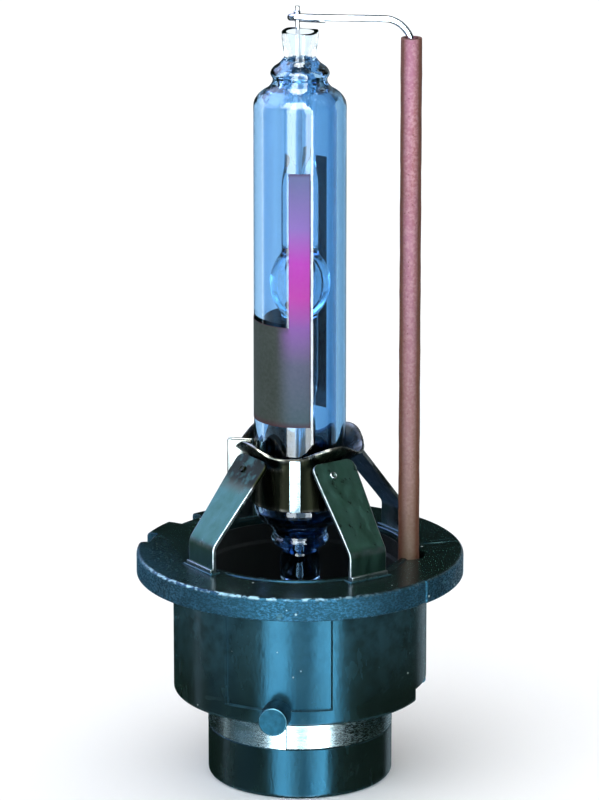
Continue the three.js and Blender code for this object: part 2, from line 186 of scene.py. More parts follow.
def window(angle, centre, half, soft=0.5):
    """1 inside centre +- half degrees, 0 outside, with a soft edge."""
    return 1 - ramp(np.abs(turn_from(angle, centre)), half - soft / 2, half + soft / 2)


def rounded(points, loop=True, guard=0.05):
    """An outline with its corners rounded: a third number on a point is its fillet radius.
    Guard points just past each fillet keep the flat stretches flat when they are shaded smooth."""
    made = []
    count = len(points)
    for i, point in enumerate(points):
        corner = np.array(point[:2], float)
        radius = point[2] if len(point) > 2 else 0
        at_end = not loop and i in (0, count - 1)
        before = np.array(points[i - 1][:2], float) - corner
        after = np.array(points[(i + 1) % count][:2], float) - corner
        if at_end or radius <= 0:
            made.append(tuple(corner))
            continue
        before /= np.linalg.norm(before)
        after /= np.linalg.norm(after)
        half = math.acos(np.clip(before @ after, -1, 1)) / 2
        reach = radius / math.tan(half)
        bisector = (before + after) / np.linalg.norm(before + after)
        centre = corner + bisector * radius / math.sin(half)
        start = corner + before * reach
        end = corner + after * reach
        made.append(tuple(start + before * guard))
        steps = max(2, round(math.degrees(math.pi - 2 * half) / 15))
        for step in range(steps + 1):
            mix = step / steps
            spoke = (start - centre) * (1 - mix) + (end - centre) * mix
            made.append(tuple(centre + spoke / np.linalg.norm(spoke) * radius))
        made.append(tuple(end + after * guard))
    return made


def angle_lines(count=160, edges=(), soft=0.5):
    """Angles round a turned piece, with extra lines where a feature starts and ends."""
    lines = list(np.arange(count) * 360 / count)
    for edge in edges:
        lines = [a for a in lines if abs(turn_from(a, edge)) > soft * 1.2]
        lines += [(edge + k * soft / 2) % 360 for k in (-1.6, -1, -0.4, 0.4, 1, 1.6)]
    return np.array(sorted(lines))


def grid_faces(rows, columns, wrap_rows, wrap_columns):
    """Quads of a grid of points stored row by row."""
    faces = []
    for i in range(rows if wrap_rows else rows - 1):
        for j in range(columns if wrap_columns else columns - 1):
            down, up = i * columns, (i + 1) % rows * columns
            faces.append((down + j, down + (j + 1) % columns, up + (j + 1) % columns, up + j))
    return faces


def mark_points(mesh, name, values):
    """A named value on each point, for the materials to read."""
    attribute = mesh.attributes.get(name) or mesh.attributes.new(name, "FLOAT", "POINT")
    attribute.data.foreach_set("value", np.asarray(values, np.float32))


def points_mm(mesh):
    return np.array([v.co for v in mesh.vertices]) / MM


def polar(points):
    """The bearing in degrees and the radius of each point."""
    return np.degrees(np.arctan2(points[:, 1], points[:, 0])), np.hypot(points[:, 0], points[:, 1])


def mark_wear(mesh):
    """A point attribute that is 1 on sharp edges and 0 on flat stretches, for the edge wear."""
    edit = bmesh.new()
    edit.from_mesh(mesh)
    values = np.zeros(len(mesh.vertices), np.float32)
    for vertex in edit.verts:
        bends = [edge.calc_face_angle(0) for edge in vertex.link_edges if len(edge.link_faces) == 2]
        values[vertex.index] = ramp(math.degrees(max(bends, default=0)), 7, 26)
    edit.free()
    attribute = mesh.attributes.get("wear") or mesh.attributes.new("wear", "FLOAT", "POINT")
    attribute.data.foreach_set("value", values)


def make_mesh(name, vertices, faces, sharp=32):
    """A mesh in metres from points in millimetres, merged, with its faces out and its edges marked."""
    mesh = bpy.data.meshes.new(name)
    mesh.from_pydata([tuple(v) for v in np.asarray(vertices, float) * MM], [], faces)
    edit = bmesh.new()
    edit.from_mesh(mesh)
    bmesh.ops.remove_doubles(edit, verts=edit.verts, dist=2e-7)
    bmesh.ops.dissolve_degenerate(edit, edges=edit.edges, dist=1e-8)
    edit.to_mesh(mesh)
    edit.free()
    finish_mesh(mesh, sharp)
    return mesh


def finish_mesh(mesh, sharp=32, keep_wear=False):
    mesh.validate()
    mesh.shade_smooth()
    mesh.set_sharp_from_angle(angle=math.radians(sharp))
    if not keep_wear:
        mark_wear(mesh)


def add_piece(name, mesh, maker, body=BULB, stands_for=()):
    """Links a finished mesh, with the material that maker makes, its slot and its body."""
    piece = bpy.data.objects.new(name, mesh)
    bpy.context.scene.collection.objects.link(piece)
    mesh.materials.clear()
    mesh.materials.append(material_once(maker))
    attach(piece, body)
    if stands_for:
        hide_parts(*stands_for)
    return piece


def turned(name, outline, angles=None, change=None, sharp=32):
    """A piece turned round the axis from an outline that runs up its outside and closes on itself, or starts
    and ends on the axis. change(angle, radius, height) gives the radius and height of the cut shape back."""
    angles = angle_lines() if angles is None else angles
    radius, height = (np.array(column) for column in zip(*outline))
    loop = radius[0] > 0
    a, r = np.meshgrid(angles, radius)
    z = np.meshgrid(angles, height)[1]
    if change:
        r, z = change(a, r, z)
    turn = np.radians(a)
    points = np.stack([r * np.cos(turn), r * np.sin(turn), z], axis=-1).reshape(-1, 3)
    return make_mesh(name, points, grid_faces(len(radius), len(angles), loop, True), sharp)


def swept_sections(name, sections, sharp=32):
    """A closed skin over a row of section loops, each an array of points, with both ends capped."""
    rows, columns = len(sections), len(sections[0])
    faces = grid_faces(rows, columns, False, True)
    faces.append(tuple(reversed(range(columns))))
    faces.append(tuple(range((rows - 1) * columns, rows * columns)))
    mesh = make_mesh(name, np.concatenate(sections), faces, sharp)
    edit = bmesh.new()
    edit.from_mesh(mesh)
    bmesh.ops.recalc_face_normals(edit, faces=edit.faces)
    edit.to_mesh(mesh)
    edit.free()
    finish_mesh(mesh, sharp)
    return mesh


def rounded_box(name, x, y, z, radius):
    """A box with its edges bevelled round, in millimetres."""
    edit = bmesh.new()
    bmesh.ops.create_cube(edit, size=1)
    for vertex in edit.verts:
        vertex.co = Vector([(lo + hi) / 2 + c * (hi - lo) for c, (lo, hi) in zip(vertex.co, (x, y, z))]) * MM
    bmesh.ops.bevel(
        edit, geom=edit.edges[:] + edit.verts[:], offset=radius * MM, segments=3, profile=0.5, affect="EDGES"
    )
    mesh = bpy.data.meshes.new(name)
    edit.to_mesh(mesh)
    edit.free()
    finish_mesh(mesh)
    return mesh


def stood(outline, angle):
    """An outline of [radius, height] pairs stood up at an angle in degrees."""
    turn = math.radians(angle)
    return np.array([(r * math.cos(turn), r * math.sin(turn), z) for r, z in outline])


def flattened(piece_object, keep_wear=False):
    """The evaluated mesh of an object as a plain mesh. The object is removed."""
    depsgraph = bpy.context.evaluated_depsgraph_get()
    mesh = bpy.data.meshes.new_from_object(piece_object.evaluated_get(depsgraph), depsgraph=depsgraph)
    bpy.data.objects.remove(piece_object)
    finish_mesh(mesh, keep_wear=keep_wear)
    return mesh


def carved(mesh, *cutters):
    """The mesh with other meshes cut out of it."""
    body = bpy.data.objects.new("carve", mesh)
    bpy.context.scene.collection.objects.link(body)
    tools = []
    for cutter in cutters:
        mark_points(cutter, "wear", np.zeros(len(cutter.vertices)))
        tool = bpy.data.objects.new("cutter", cutter)
        bpy.context.scene.collection.objects.link(tool)
        modifier = body.modifiers.new("cut", "BOOLEAN")
        modifier.operation = "DIFFERENCE"
        modifier.solver = "EXACT"
        modifier.object = tool
        tools.append(tool)
    made = flattened(body, keep_wear=True)
    for tool in tools:
        bpy.data.objects.remove(tool)
    return made


def joined(name, *meshes):
    """Several meshes as one."""
    edit = bmesh.new()
    for mesh in meshes:
        edit.from_mesh(mesh)
    made = bpy.data.meshes.new(name)
    edit.to_mesh(made)
    edit.free()
    finish_mesh(made)
    return made


def moved(mesh, turn=0.0, shift=(0, 0, 0), tilt=0.0):
    """The mesh tilted about Y, shifted in millimetres, then turned about the axis. Angles in degrees."""
    tilted, turned_by = math.radians(tilt), math.radians(turn)
    points = np.array([v.co for v in mesh.vertices])
    x = points[:, 0] * math.cos(tilted) + points[:, 2] * math.sin(tilted) + shift[0] * MM
    z = -points[:, 0] * math.sin(tilted) + points[:, 2] * math.cos(tilted) + shift[2] * MM
    y = points[:, 1] + shift[1] * MM
    spun = np.stack([
        x * math.cos(turned_by) - y * math.sin(turned_by),
        x * math.sin(turned_by) + y * math.cos(turned_by),
        z,
    ], axis=1)
    mesh.vertices.foreach_set("co", spun.ravel())
    mesh.update()
    return mesh


def smooth_path(points, per_span=8):
    """A smooth curve through points, as an array of points."""
    p = np.array([points[0], *points, points[-1]], float)
    made = []
    for i in range(1, len(p) - 2):
        for t in np.linspace(0, 1, per_span, endpoint=False):
            made.append(0.5 * (
                2 * p[i] + (p[i + 1] - p[i - 1]) * t
                + (2 * p[i - 1] - 5 * p[i] + 4 * p[i + 1] - p[i + 2]) * t * t
                + (3 * p[i] - p[i - 1] - 3 * p[i + 1] + p[i + 2]) * t ** 3
            ))
    made.append(p[-2])
    return np.array(made)


# ---------------------------------------------------------------- geometry node trees

def put(tree, kind, inputs=None, **settings):
    """A node with its settings, and its inputs set to a value or linked to another node's output."""
    made = tree.nodes.new(kind)
    for name, value in settings.items():
        setattr(made, name, value)
    for key, value in (inputs or {}).items():
        if isinstance(value, bpy.types.NodeSocket):
            tree.links.new(value, made.inputs[key])
        else:
            made.inputs[key].default_value = value
    return made


def maths(tree, operation, *values, **settings):
    """The output of a maths node."""
    return put(tree, "ShaderNodeMath", dict(enumerate(values)), operation=operation, **settings).outputs[0]


def new_tree(name, kind, sockets):
    """A node tree with named inputs and outputs: (name, direction, socket type, default)."""
    tree = bpy.data.node_groups.new(name, kind)
    for label, direction, socket_type, default in sockets:
        socket = tree.interface.new_socket(label, in_out=direction, socket_type=socket_type)
        if default is not None:
            socket.default_value = default
    return tree


def wire_tree():
    """Geometry nodes: a round wire along the edges of a path."""
    tree = new_tree("Wire along a path", "GeometryNodeTree", [
        ("Geometry", "INPUT", "NodeSocketGeometry", None),
        ("Radius", "INPUT", "NodeSocketFloat", 0.3 * MM),
        ("Sides", "INPUT", "NodeSocketInt", 20),
        ("Material", "INPUT", "NodeSocketMaterial", None),
        ("Geometry", "OUTPUT", "NodeSocketGeometry", None),
    ])
    given = put(tree, "NodeGroupInput")
    path = put(tree, "GeometryNodeMeshToCurve", {"Mesh": given.outputs["Geometry"]})
    section = put(tree, "GeometryNodeCurvePrimitiveCircle", {
        "Resolution": given.outputs["Sides"],
        "Radius": given.outputs["Radius"],
    })
    wire = put(tree, "GeometryNodeCurveToMesh", {
        "Curve": path.outputs["Curve"],
        "Profile Curve": section.outputs["Curve"],
        "Fill Caps": True,
    })
    real = put(tree, "GeometryNodeRealizeInstances", {"Geometry": wire.outputs["Mesh"]})
    finish = put(tree, "GeometryNodeSetMaterial", {
        "Geometry": real.outputs["Geometry"],
        "Material": given.outputs["Material"],
    })
    put(tree, "NodeGroupOutput", {"Geometry": finish.outputs["Geometry"]})
    return tree


def ring_tree():
    """Geometry nodes: copies of a piece, evenly spaced round the axis."""
    tree = new_tree("Copies round the axis", "GeometryNodeTree", [
        ("Geometry", "INPUT", "NodeSocketGeometry", None),
        ("Count", "INPUT", "NodeSocketInt", 4),
        ("First angle", "INPUT", "NodeSocketFloat", 0.0),
        ("Material", "INPUT", "NodeSocketMaterial", None),
        ("Geometry", "OUTPUT", "NodeSocketGeometry", None),
    ])
    given = put(tree, "NodeGroupInput")
    places = put(tree, "GeometryNodeMeshLine", {
        "Count": given.outputs["Count"],
        "Offset": (0, 0, 0),
    })
    index = put(tree, "GeometryNodeInputIndex")
    step = maths(tree, "DIVIDE", 2 * math.pi, given.outputs["Count"])
    angle = maths(tree, "MULTIPLY_ADD", index.outputs[0], step, given.outputs["First angle"])
    spin = put(tree, "ShaderNodeCombineXYZ", {"Z": angle})
    copies = put(tree, "GeometryNodeInstanceOnPoints", {
        "Points": places.outputs["Mesh"],
        "Instance": given.outputs["Geometry"],
        "Rotation": spin.outputs["Vector"],
    })
    real = put(tree, "GeometryNodeRealizeInstances", {"Geometry": copies.outputs["Instances"]})
    finish = put(tree, "GeometryNodeSetMaterial", {
        "Geometry": real.outputs["Geometry"],
        "Material": given.outputs["Material"],
    })
    put(tree, "NodeGroupOutput", {"Geometry": finish.outputs["Geometry"]})
    return tree


def tree_once(maker):
    """The node tree that a maker function makes, made once."""
    name = maker.__doc__
    for tree in bpy.data.node_groups:
        if tree.get("maker") == name:
            return tree
    tree = maker()
    tree["maker"] = name
    return tree


def grown(mesh, maker, **values):
    """A plain mesh from a geometry node tree run on a mesh, with the tree's named inputs set."""
    carrier = bpy.data.objects.new("carrier", mesh)
    bpy.context.scene.collection.objects.link(carrier)
    modifier = carrier.modifiers.new("nodes", "NODES")
    tree = tree_once(maker)
    modifier.node_group = tree
    wanted = {name.replace("_", " ").capitalize(): value for name, value in values.items()}
    for item in tree.interface.items_tree:
        if item.in_out == "INPUT" and item.name in wanted:
            modifier[item.identifier] = wanted[item.name]
    return flattened(carrier)


def wire_mesh(points, radius, maker, sides=20):
    """A round wire along points, in millimetres."""
    path = bpy.data.meshes.new("path")
    edges = [(i, i + 1) for i in range(len(points) - 1)]
    path.from_pydata([tuple(p) for p in np.asarray(points) * MM], edges, [])
    return grown(path, wire_tree, radius=radius * MM, sides=sides, material=material_once(maker))


# ---------------------------------------------------------------- shared effects for materials

COLOUR, FLOAT = "NodeSocketColor", "NodeSocketFloat"


def grain_group():
    """Shared effect: fine moulded or cast grain, as a height and a slow change of tone."""
    tree = new_tree("Fine grain", "ShaderNodeTree", [
        ("Scale", "INPUT", FLOAT, 6000.0),
        ("Blotch scale", "INPUT", FLOAT, 400.0),
        ("Stretch", "INPUT", FLOAT, 1.0),
        ("Height", "OUTPUT", FLOAT, None),
        ("Tone", "OUTPUT", FLOAT, None),
    ])
    given = put(tree, "NodeGroupInput")
    place = put(tree, "ShaderNodeTexCoord")
    squeeze = put(tree, "ShaderNodeCombineXYZ", {"X": 1.0, "Y": 1.0, "Z": given.outputs["Stretch"]})
    along = put(tree, "ShaderNodeVectorMath", {
        0: place.outputs["Object"],
        1: squeeze.outputs["Vector"],
    }, operation="MULTIPLY")
    fine = put(tree, "ShaderNodeTexNoise", {
        "Vector": along.outputs["Vector"],
        "Scale": given.outputs["Scale"],
        "Detail": 3.0,
    })
    slow = put(tree, "ShaderNodeTexNoise", {
        "Vector": along.outputs["Vector"],
        "Scale": given.outputs["Blotch scale"],
        "Detail": 4.0,
        "Roughness": 0.6,
    })
    put(tree, "NodeGroupOutput", {"Height": fine.outputs["Fac"], "Tone": slow.outputs["Fac"]})
    return tree


def wear_group():
    """Shared effect: bare or polished edges, from the piece's wear attribute broken up by noise."""
    tree = new_tree("Edge wear", "ShaderNodeTree", [
        ("Base", "INPUT", COLOUR, (0.5, 0.5, 0.5, 1)),
        ("Worn", "INPUT", COLOUR, (0.9, 0.9, 0.9, 1)),
        ("Amount", "INPUT", FLOAT, 0.6),
        ("Scale", "INPUT", FLOAT, 900.0),
        ("Colour", "OUTPUT", COLOUR, None),
        ("Mask", "OUTPUT", FLOAT, None),
    ])
    given = put(tree, "NodeGroupInput")
    edge = painted(tree, "wear")
    place = put(tree, "ShaderNodeTexCoord")
    noise = put(tree, "ShaderNodeTexNoise", {
        "Vector": place.outputs["Object"],
        "Scale": given.outputs["Scale"],
        "Detail": 4.0,
    })
    patch = put(tree, "ShaderNodeMapRange", {0: noise.outputs["Fac"], 1: 0.35, 2: 0.6, 3: 0.35, 4: 1.0})
    broken = times(tree, edge, patch.outputs[0])
    mask = maths(tree, "MULTIPLY", broken, given.outputs["Amount"], use_clamp=True)
    blend = colour_mix(tree, mask, given.outputs["Base"], given.outputs["Worn"])
    put(tree, "NodeGroupOutput", {"Colour": blend, "Mask": mask})
    return tree


def speck_group():
    """Shared effect: sparse bright specks, as of dust or mineral filler."""
    tree = new_tree("Specks", "ShaderNodeTree", [
        ("Scale", "INPUT", FLOAT, 900.0),
        ("Size", "INPUT", FLOAT, 0.1),
        ("Share", "INPUT", FLOAT, 0.2),
        ("Mask", "OUTPUT", FLOAT, None),
    ])
    given = put(tree, "NodeGroupInput")
    place = put(tree, "ShaderNodeTexCoord")
    cells = put(tree, "ShaderNodeTexVoronoi", {
        "Vector": place.outputs["Object"],
        "Scale": given.outputs["Scale"],
    })
    dot = maths(tree, "LESS_THAN", cells.outputs["Distance"], given.outputs["Size"])
    lottery = put(tree, "ShaderNodeSeparateColor", {"Color": cells.outputs["Color"]})
    chosen = maths(tree, "LESS_THAN", lottery.outputs["Red"], given.outputs["Share"])
    put(tree, "NodeGroupOutput", {"Mask": times(tree, dot, chosen)})
    return tree


def scuff_group():
    """Shared effect: thin stray scratches lying roughly one way, broken up by a slow noise."""
    tree = new_tree("Scuffs", "ShaderNodeTree", [
        ("Scale", "INPUT", FLOAT, 700.0),
        ("Bearing", "INPUT", FLOAT, 0.5),
        ("Share", "INPUT", FLOAT, 0.6),
        ("Mask", "OUTPUT", FLOAT, None),
    ])
    given = put(tree, "NodeGroupInput")
    place = put(tree, "ShaderNodeTexCoord")
    turned_by = put(tree, "ShaderNodeVectorRotate", {
        "Vector": place.outputs["Object"],
        "Axis": (0.3, 0.2, 0.93),
        "Angle": given.outputs["Bearing"],
    }, rotation_type="AXIS_ANGLE")
    drawn = put(tree, "ShaderNodeVectorMath", {
        0: turned_by.outputs["Vector"],
        1: (0.07, 1.6, 1.0),
    }, operation="MULTIPLY")
    lines = put(tree, "ShaderNodeTexNoise", {
        "Vector": drawn.outputs["Vector"],
        "Scale": given.outputs["Scale"],
        "Detail": 2.0,
        "Distortion": 0.3,
    })
    thin = put(tree, "ShaderNodeMapRange", {0: lines.outputs["Fac"], 1: 0.66, 2: 0.7, 3: 0.0, 4: 1.0})
    patches = put(tree, "ShaderNodeTexNoise", {"Vector": place.outputs["Object"], "Scale": 160.0})
    patchy = put(tree, "ShaderNodeMapRange", {0: patches.outputs["Fac"], 1: 0.45, 2: 0.6, 3: 0.0, 4: 1.0})
    broken = times(tree, thin.outputs[0], patchy.outputs[0])
    mask = maths(tree, "MULTIPLY", broken, given.outputs["Share"], use_clamp=True)
    put(tree, "NodeGroupOutput", {"Mask": mask})
    return tree


def window_group():
    """Shared effect: 1 where a direction lies inside a window of angles, soft at its edges."""
    tree = new_tree("Angle window", "ShaderNodeTree", [
        ("Direction", "INPUT", FLOAT, 0.0),
        ("Centre", "INPUT", FLOAT, 0.0),
        ("Half width", "INPUT", FLOAT, 0.3),
        ("Softness", "INPUT", FLOAT, 0.1),
        ("Inside", "OUTPUT", FLOAT, None),
    ])
    given = put(tree, "NodeGroupInput")
    turned_by = maths(tree, "SUBTRACT", given.outputs["Direction"], given.outputs["Centre"])
    wrapped = maths(tree, "WRAP", turned_by, math.pi, -math.pi)
    away = maths(tree, "ABSOLUTE", wrapped)
    half_soft = times(tree, given.outputs["Softness"], 0.5)
    outer = maths(tree, "ADD", given.outputs["Half width"], half_soft)
    inner = maths(tree, "SUBTRACT", given.outputs["Half width"], half_soft)
    inside = put(
        tree, "ShaderNodeMapRange", {0: away, 1: outer, 2: inner, 3: 0.0, 4: 1.0},
        interpolation_type="SMOOTHSTEP",
    )
    put(tree, "NodeGroupOutput", {"Inside": inside.outputs[0]})
    return tree


def colour_mix(tree, factor, first, second, blend="MIX"):
    """The output of a colour mix node."""
    mix = tree.nodes.new("ShaderNodeMix")
    mix.data_type = "RGBA"
    mix.blend_type = blend
    for socket, value in zip([mix.inputs[0], mix.inputs[6], mix.inputs[7]], [factor, first, second]):
        if isinstance(value, bpy.types.NodeSocket):
            tree.links.new(value, socket)
        elif isinstance(value, (int, float)):
            socket.default_value = value
        else:
            socket.default_value = (*value[:3], 1)
    return mix.outputs[2]


def effect(tree, maker, **inputs):
    """A shared effect placed in a material, with its own values."""
    made = tree.nodes.new("ShaderNodeGroup")
    made.node_tree = tree_once(maker)
    for name, value in inputs.items():
        socket = made.inputs[name.replace("_", " ").capitalize()]
        if isinstance(value, bpy.types.NodeSocket):
            tree.links.new(value, socket)
        elif isinstance(value, (int, float)):
            socket.default_value = value
        else:
            socket.default_value = (*value[:3], 1)
    return made.outputs


def spread(tree, value, low_end, high_end, start=0.3, stop=0.7):
    """A 0 to 1 value mapped to a range."""
    mapped = put(tree, "ShaderNodeMapRange", {0: value, 1: start, 2: stop, 3: low_end, 4: high_end})
    return mapped.outputs[0]


def times(tree, first, second):
    return maths(tree, "MULTIPLY", first, second)


def painted(tree, name):
    """The value that mark_points left on the mesh under this name."""
    return put(tree, "ShaderNodeAttribute", attribute_name=name).outputs["Fac"]


def object_axes(tree):
    """X, Y and Z of the shaded point, each as an output."""
    place = put(tree, "ShaderNodeTexCoord")
    return put(tree, "ShaderNodeSeparateXYZ", {"Vector": place.outputs["Object"]}).outputs


def bump(tree, height, distance, strength=1.0, normal=None):
    inputs = {"Height": height, "Distance": distance * MM, "Strength": strength}
    if normal:
        inputs["Normal"] = normal
    return put(tree, "ShaderNodeBump", inputs).outputs["Normal"]


def new_material(name, **values):
    """A material with one Principled shader, its plain values set on its own sockets."""
    material = bpy.data.materials.new(name)
    material.use_nodes = True
    tree = material.node_tree
    shader = tree.nodes["Principled BSDF"]
    for label, value in values.items():
        socket = shader.inputs[label.replace("_", " ")]
        if isinstance(value, (tuple, list)) and socket.type == "RGBA":
            socket.default_value = (*value[:3], 1)
        elif not isinstance(value, (int, float)):
            socket.default_value = (*tuple(value)[:3], 1)
        else:
            socket.default_value = value
    material.diffuse_color = (*shader.inputs["Base Color"].default_value[:3], 1)
    return material, tree, shader


def plug_in(tree, shader, **sockets):
    """Links outputs to the shader's sockets."""
    for label, output in sockets.items():
        tree.links.new(output, shader.inputs[label.replace("_", " ")])


def material_once(maker):
    """The material that a maker function makes, made once."""
    for material in bpy.data.materials:
        if material.get("maker") == maker.__name__:
            return material
    material = maker(bpy.context.scene.bulb_colours)
    material["maker"] = maker.__name__
    return material


# ---------------------------------------------------------------- materials

def moulded_plastic(colours):
    """Dark glass-filled plastic: fine grain, slow blotches of gloss, rubbed edges and a few bright fibres."""
    material, tree, shader = new_material(
        "moulded plastic", Roughness=0.24, IOR=1.5, Specular_Tint=colours.plastic_gloss,
    )
    grain = effect(tree, grain_group, scale=3000.0, blotch_scale=420.0, stretch=0.4)
    wear = effect(tree, wear_group, base=colours.plastic, worn=(0.05, 0.14, 0.18), amount=0.5, scale=700.0)
    toned = colour_mix(tree, spread(tree, grain["Tone"], 0, 0.5), wear["Colour"], (0.008, 0.016, 0.011))
    specks = effect(tree, speck_group, scale=1300.0, size=0.12, share=0.035)
    marks = effect(tree, scuff_group, scale=700.0, bearing=0.5, share=0.5)
    scuffed = colour_mix(tree, times(tree, marks["Mask"], 0.35), toned, (0.03, 0.06, 0.06))
    dotted = colour_mix(tree, specks["Mask"], scuffed, (0.3, 0.36, 0.35))
    plug_in(
        tree, shader, Base_Color=dotted,
        Roughness=spread(tree, grain["Tone"], 0.18, 0.3),
        Normal=bump(tree, grain["Height"], 0.02, 0.6),
    )
    return material


def flange_plastic(colours):
    """The flange: a glossy top and a rim left rough by blasting, told apart by the rim attribute."""
    material, tree, shader = new_material(
        "flange plastic", Roughness=0.3, IOR=1.5, Specular_Tint=colours.plastic_gloss,
    )
    rim = painted(tree, "rim")
    grain = effect(tree, grain_group, scale=2300.0, blotch_scale=420.0)
    pits = effect(tree, grain_group, scale=1900.0, blotch_scale=3600.0, stretch=1.6)
    # A painted highlight along the front of the top edge and on the recess lip, broken up by noise, carried
    # by the edge wear.
    lit_crest = painted(tree, "lit_crest")
    painted_crest_highlight = times(tree, times(tree, lit_crest, 2.2), spread(tree, pits["Height"], 0.0, 1.0, 0.46, 0.6))
    wear = effect(tree, wear_group, amount=painted_crest_highlight, scale=900.0)
    mottle = colour_mix(tree, spread(tree, pits["Tone"], 0, 1, 0.45, 0.62), colours.rim, (0.03, 0.1, 0.17))
    mottled = colour_mix(tree, spread(tree, grain["Tone"], 0, 0.6, 0.4, 0.62), mottle, (0.0015, 0.004, 0.004))
    # The rim attribute also carries the painted pool of light on the top's left.
    plain = colour_mix(tree, times(tree, rim, 0.9), colours.plastic, mottled)
    # Pale blue on the front top edge: painted highlight.
    shown = colour_mix(tree, wear["Mask"], plain, (0.4, 0.66, 0.8))
    specks = effect(tree, speck_group, scale=1200.0, size=0.14, share=0.05)
    marks = effect(tree, scuff_group, scale=650.0, bearing=-0.5, share=0.8)
    scuffed = colour_mix(tree, times(tree, marks["Mask"], 0.6), shown, (0.08, 0.18, 0.2))
    dotted = colour_mix(tree, specks["Mask"], scuffed, (0.4, 0.5, 0.5))
    coarse = bump(tree, pits["Height"], 0.05, 0.0)
    tree.links.new(times(tree, rim, 0.9), coarse.node.inputs["Strength"])
    pitted = times(tree, rim, spread(tree, pits["Tone"], 1.0, 0.2, 0.42, 0.6))
    plug_in(
        tree, shader, Base_Color=dotted,
        Roughness=spread(tree, pitted, 0.24, 0.62, 0, 1),
        Normal=bump(tree, grain["Height"], 0.006, 0.25, coarse),
    )
    return material


def painted_shade_black(colours):
    """The recess round the burner: matt black, unevenly sooted."""
    material, tree, shader = new_material("soot black", Roughness=0.8, Specular_IOR_Level=0.12)
    grain = effect(tree, grain_group, scale=4200.0, blotch_scale=500.0)
    # Two near-black tones mixed by noise: painted shade of the recess.
    painted_shade = colour_mix(tree, spread(tree, grain["Tone"], 0, 1), (0.0015, 0.0018, 0.002), (0.004, 0.006, 0.006))
    plug_in(
        tree, shader, Base_Color=painted_shade,
        Roughness=spread(tree, grain["Tone"], 0.65, 0.95),
        Normal=bump(tree, grain["Height"], 0.02, 0.5),
    )
    return material


def insulator_plastic(colours):
    """Matt plastic of the inner post."""
    material, tree, shader = new_material("insulator plastic", Roughness=0.55, IOR=1.5)
    grain = effect(tree, grain_group, scale=7000.0, blotch_scale=500.0)
    wear = effect(tree, wear_group, base=(0.02, 0.03, 0.028), worn=(0.1, 0.12, 0.12), amount=0.4, scale=900.0)
    plug_in(
        tree, shader, Base_Color=wear["Colour"],
        Roughness=spread(tree, grain["Tone"], 0.45, 0.62),
        Normal=bump(tree, grain["Height"], 0.01, 0.4),
    )
    return material


def metal(name, base, worn, rough, streak, depth, edge=0.7, tarnish=None, blotch=500.0):
    """A metal finish: rolling or turning streaks, slow tarnish, and polished edges."""
    material, tree, shader = new_material(name, Metallic=1.0)
    grain = effect(tree, grain_group, scale=streak[0], blotch_scale=blotch, stretch=streak[1])
    wear = effect(tree, wear_group, base=base, worn=worn, amount=edge, scale=1300.0)
    dull = tarnish or tuple(0.62 * c for c in base)
    toned = colour_mix(tree, spread(tree, grain["Tone"], 0, 0.75, 0.4, 0.68), wear["Colour"], dull)
    lit = colour_mix(tree, wear["Mask"], toned, worn)
    plug_in(
        tree, shader, Base_Color=lit,
        Roughness=spread(tree, grain["Height"], rough[0], rough[1]),
        Normal=bump(tree, grain["Height"], depth, 0.5),
    )
    return material, tree, shader, lit


def tinned_ring(colours):
    """Bright tin plate with faint drawing marks round it."""
    return metal(
        "tinned ring", colours.tin, (0.6, 0.66, 0.68), (0.2, 0.32), (2600.0, 6.0), 0.012, 0.3,
        (0.15, 0.21, 0.2), 260.0,
    )[0]


def bright_wire(colours):
    """Bright drawn wire."""
    return metal(
        "bright wire", (0.5, 0.54, 0.6), (1, 1, 1), (0.1, 0.24), (3000.0, 0.15), 0.008, 0.4,
        (0.34, 0.36, 0.42), 700.0,
    )[0]


def lug_steel(colours):
    """Blued steel, dull and finely grained."""
    return metal(
        "lug steel", colours.lug, (0.05, 0.12, 0.15), (0.34, 0.5), (4200.0, 1.0), 0.012, 0.8,
        (0.003, 0.014, 0.02), 1500.0,
    )[0]


def leg_steel(colours):
    """Rolled steel strip, bare and bright along its cut edges, browned by the weld near its tip."""
    material, tree, shader, lit = metal(
        "leg steel", colours.leg, (0.2, 0.22, 0.23), (0.26, 0.42), (1500.0, 0.3), 0.004, 0.85,
        (0.022, 0.06, 0.04), 900.0,
    )
    scorch = painted(tree, "scorch")
    noise = put(tree, "ShaderNodeTexNoise", {
        "Vector": put(tree, "ShaderNodeTexCoord").outputs["Object"],
        "Scale": 1100.0,
        "Detail": 3.0,
    })
    burnt = times(tree, scorch, spread(tree, noise.outputs["Fac"], 0.5, 1.0, 0.35, 0.5))
    burn = colour_mix(tree, scorch, (0.07, 0.026, 0.006), (0.006, 0.007, 0.003))
    plug_in(tree, shader, Base_Color=colour_mix(tree, burnt, lit, burn))
    return material


def clamp_steel(colours):
    """Bronzed spring steel of the clamp, drawn in upright streaks and sooted beside its front strap."""
    material, tree, shader, lit = metal(
        "clamp steel", colours.clamp, (0.24, 0.23, 0.2), (0.18, 0.34), (1300.0, 0.1), 0.03, 0.45,
        (0.008, 0.01, 0.006), 900.0,
    )
    seam = painted(tree, "seam")
    bright = painted(tree, "bright")
    # Near black beside the strap: painted shade in the groove there.
    darkened = colour_mix(tree, times(tree, seam, 0.92), lit, (0.0015, 0.0018, 0.001))
    # Pale grey on the closing ears: painted highlight.
    plug_in(tree, shader, Base_Color=colour_mix(tree, times(tree, bright, 0.8), darkened, (0.3, 0.33, 0.32)))
    return material


def refractory_metal(colours):
    """Grey tungsten and molybdenum inside the glass."""
    return metal(
        "refractory metal", (0.3, 0.33, 0.36), (0.7, 0.75, 0.8), (0.3, 0.5), (3000.0, 0.3), 0.01, 0.4,
    )[0]


def foot_in_shade(tree, clear):
    """The glass colour, smoked towards the seal under the clamp."""
    axes = object_axes(tree)
    foot = spread(tree, axes["Z"], 1, 0, 27.5 * MM, 34 * MM)
    return colour_mix(tree, foot, clear, (0.18, 0.31, 0.45))


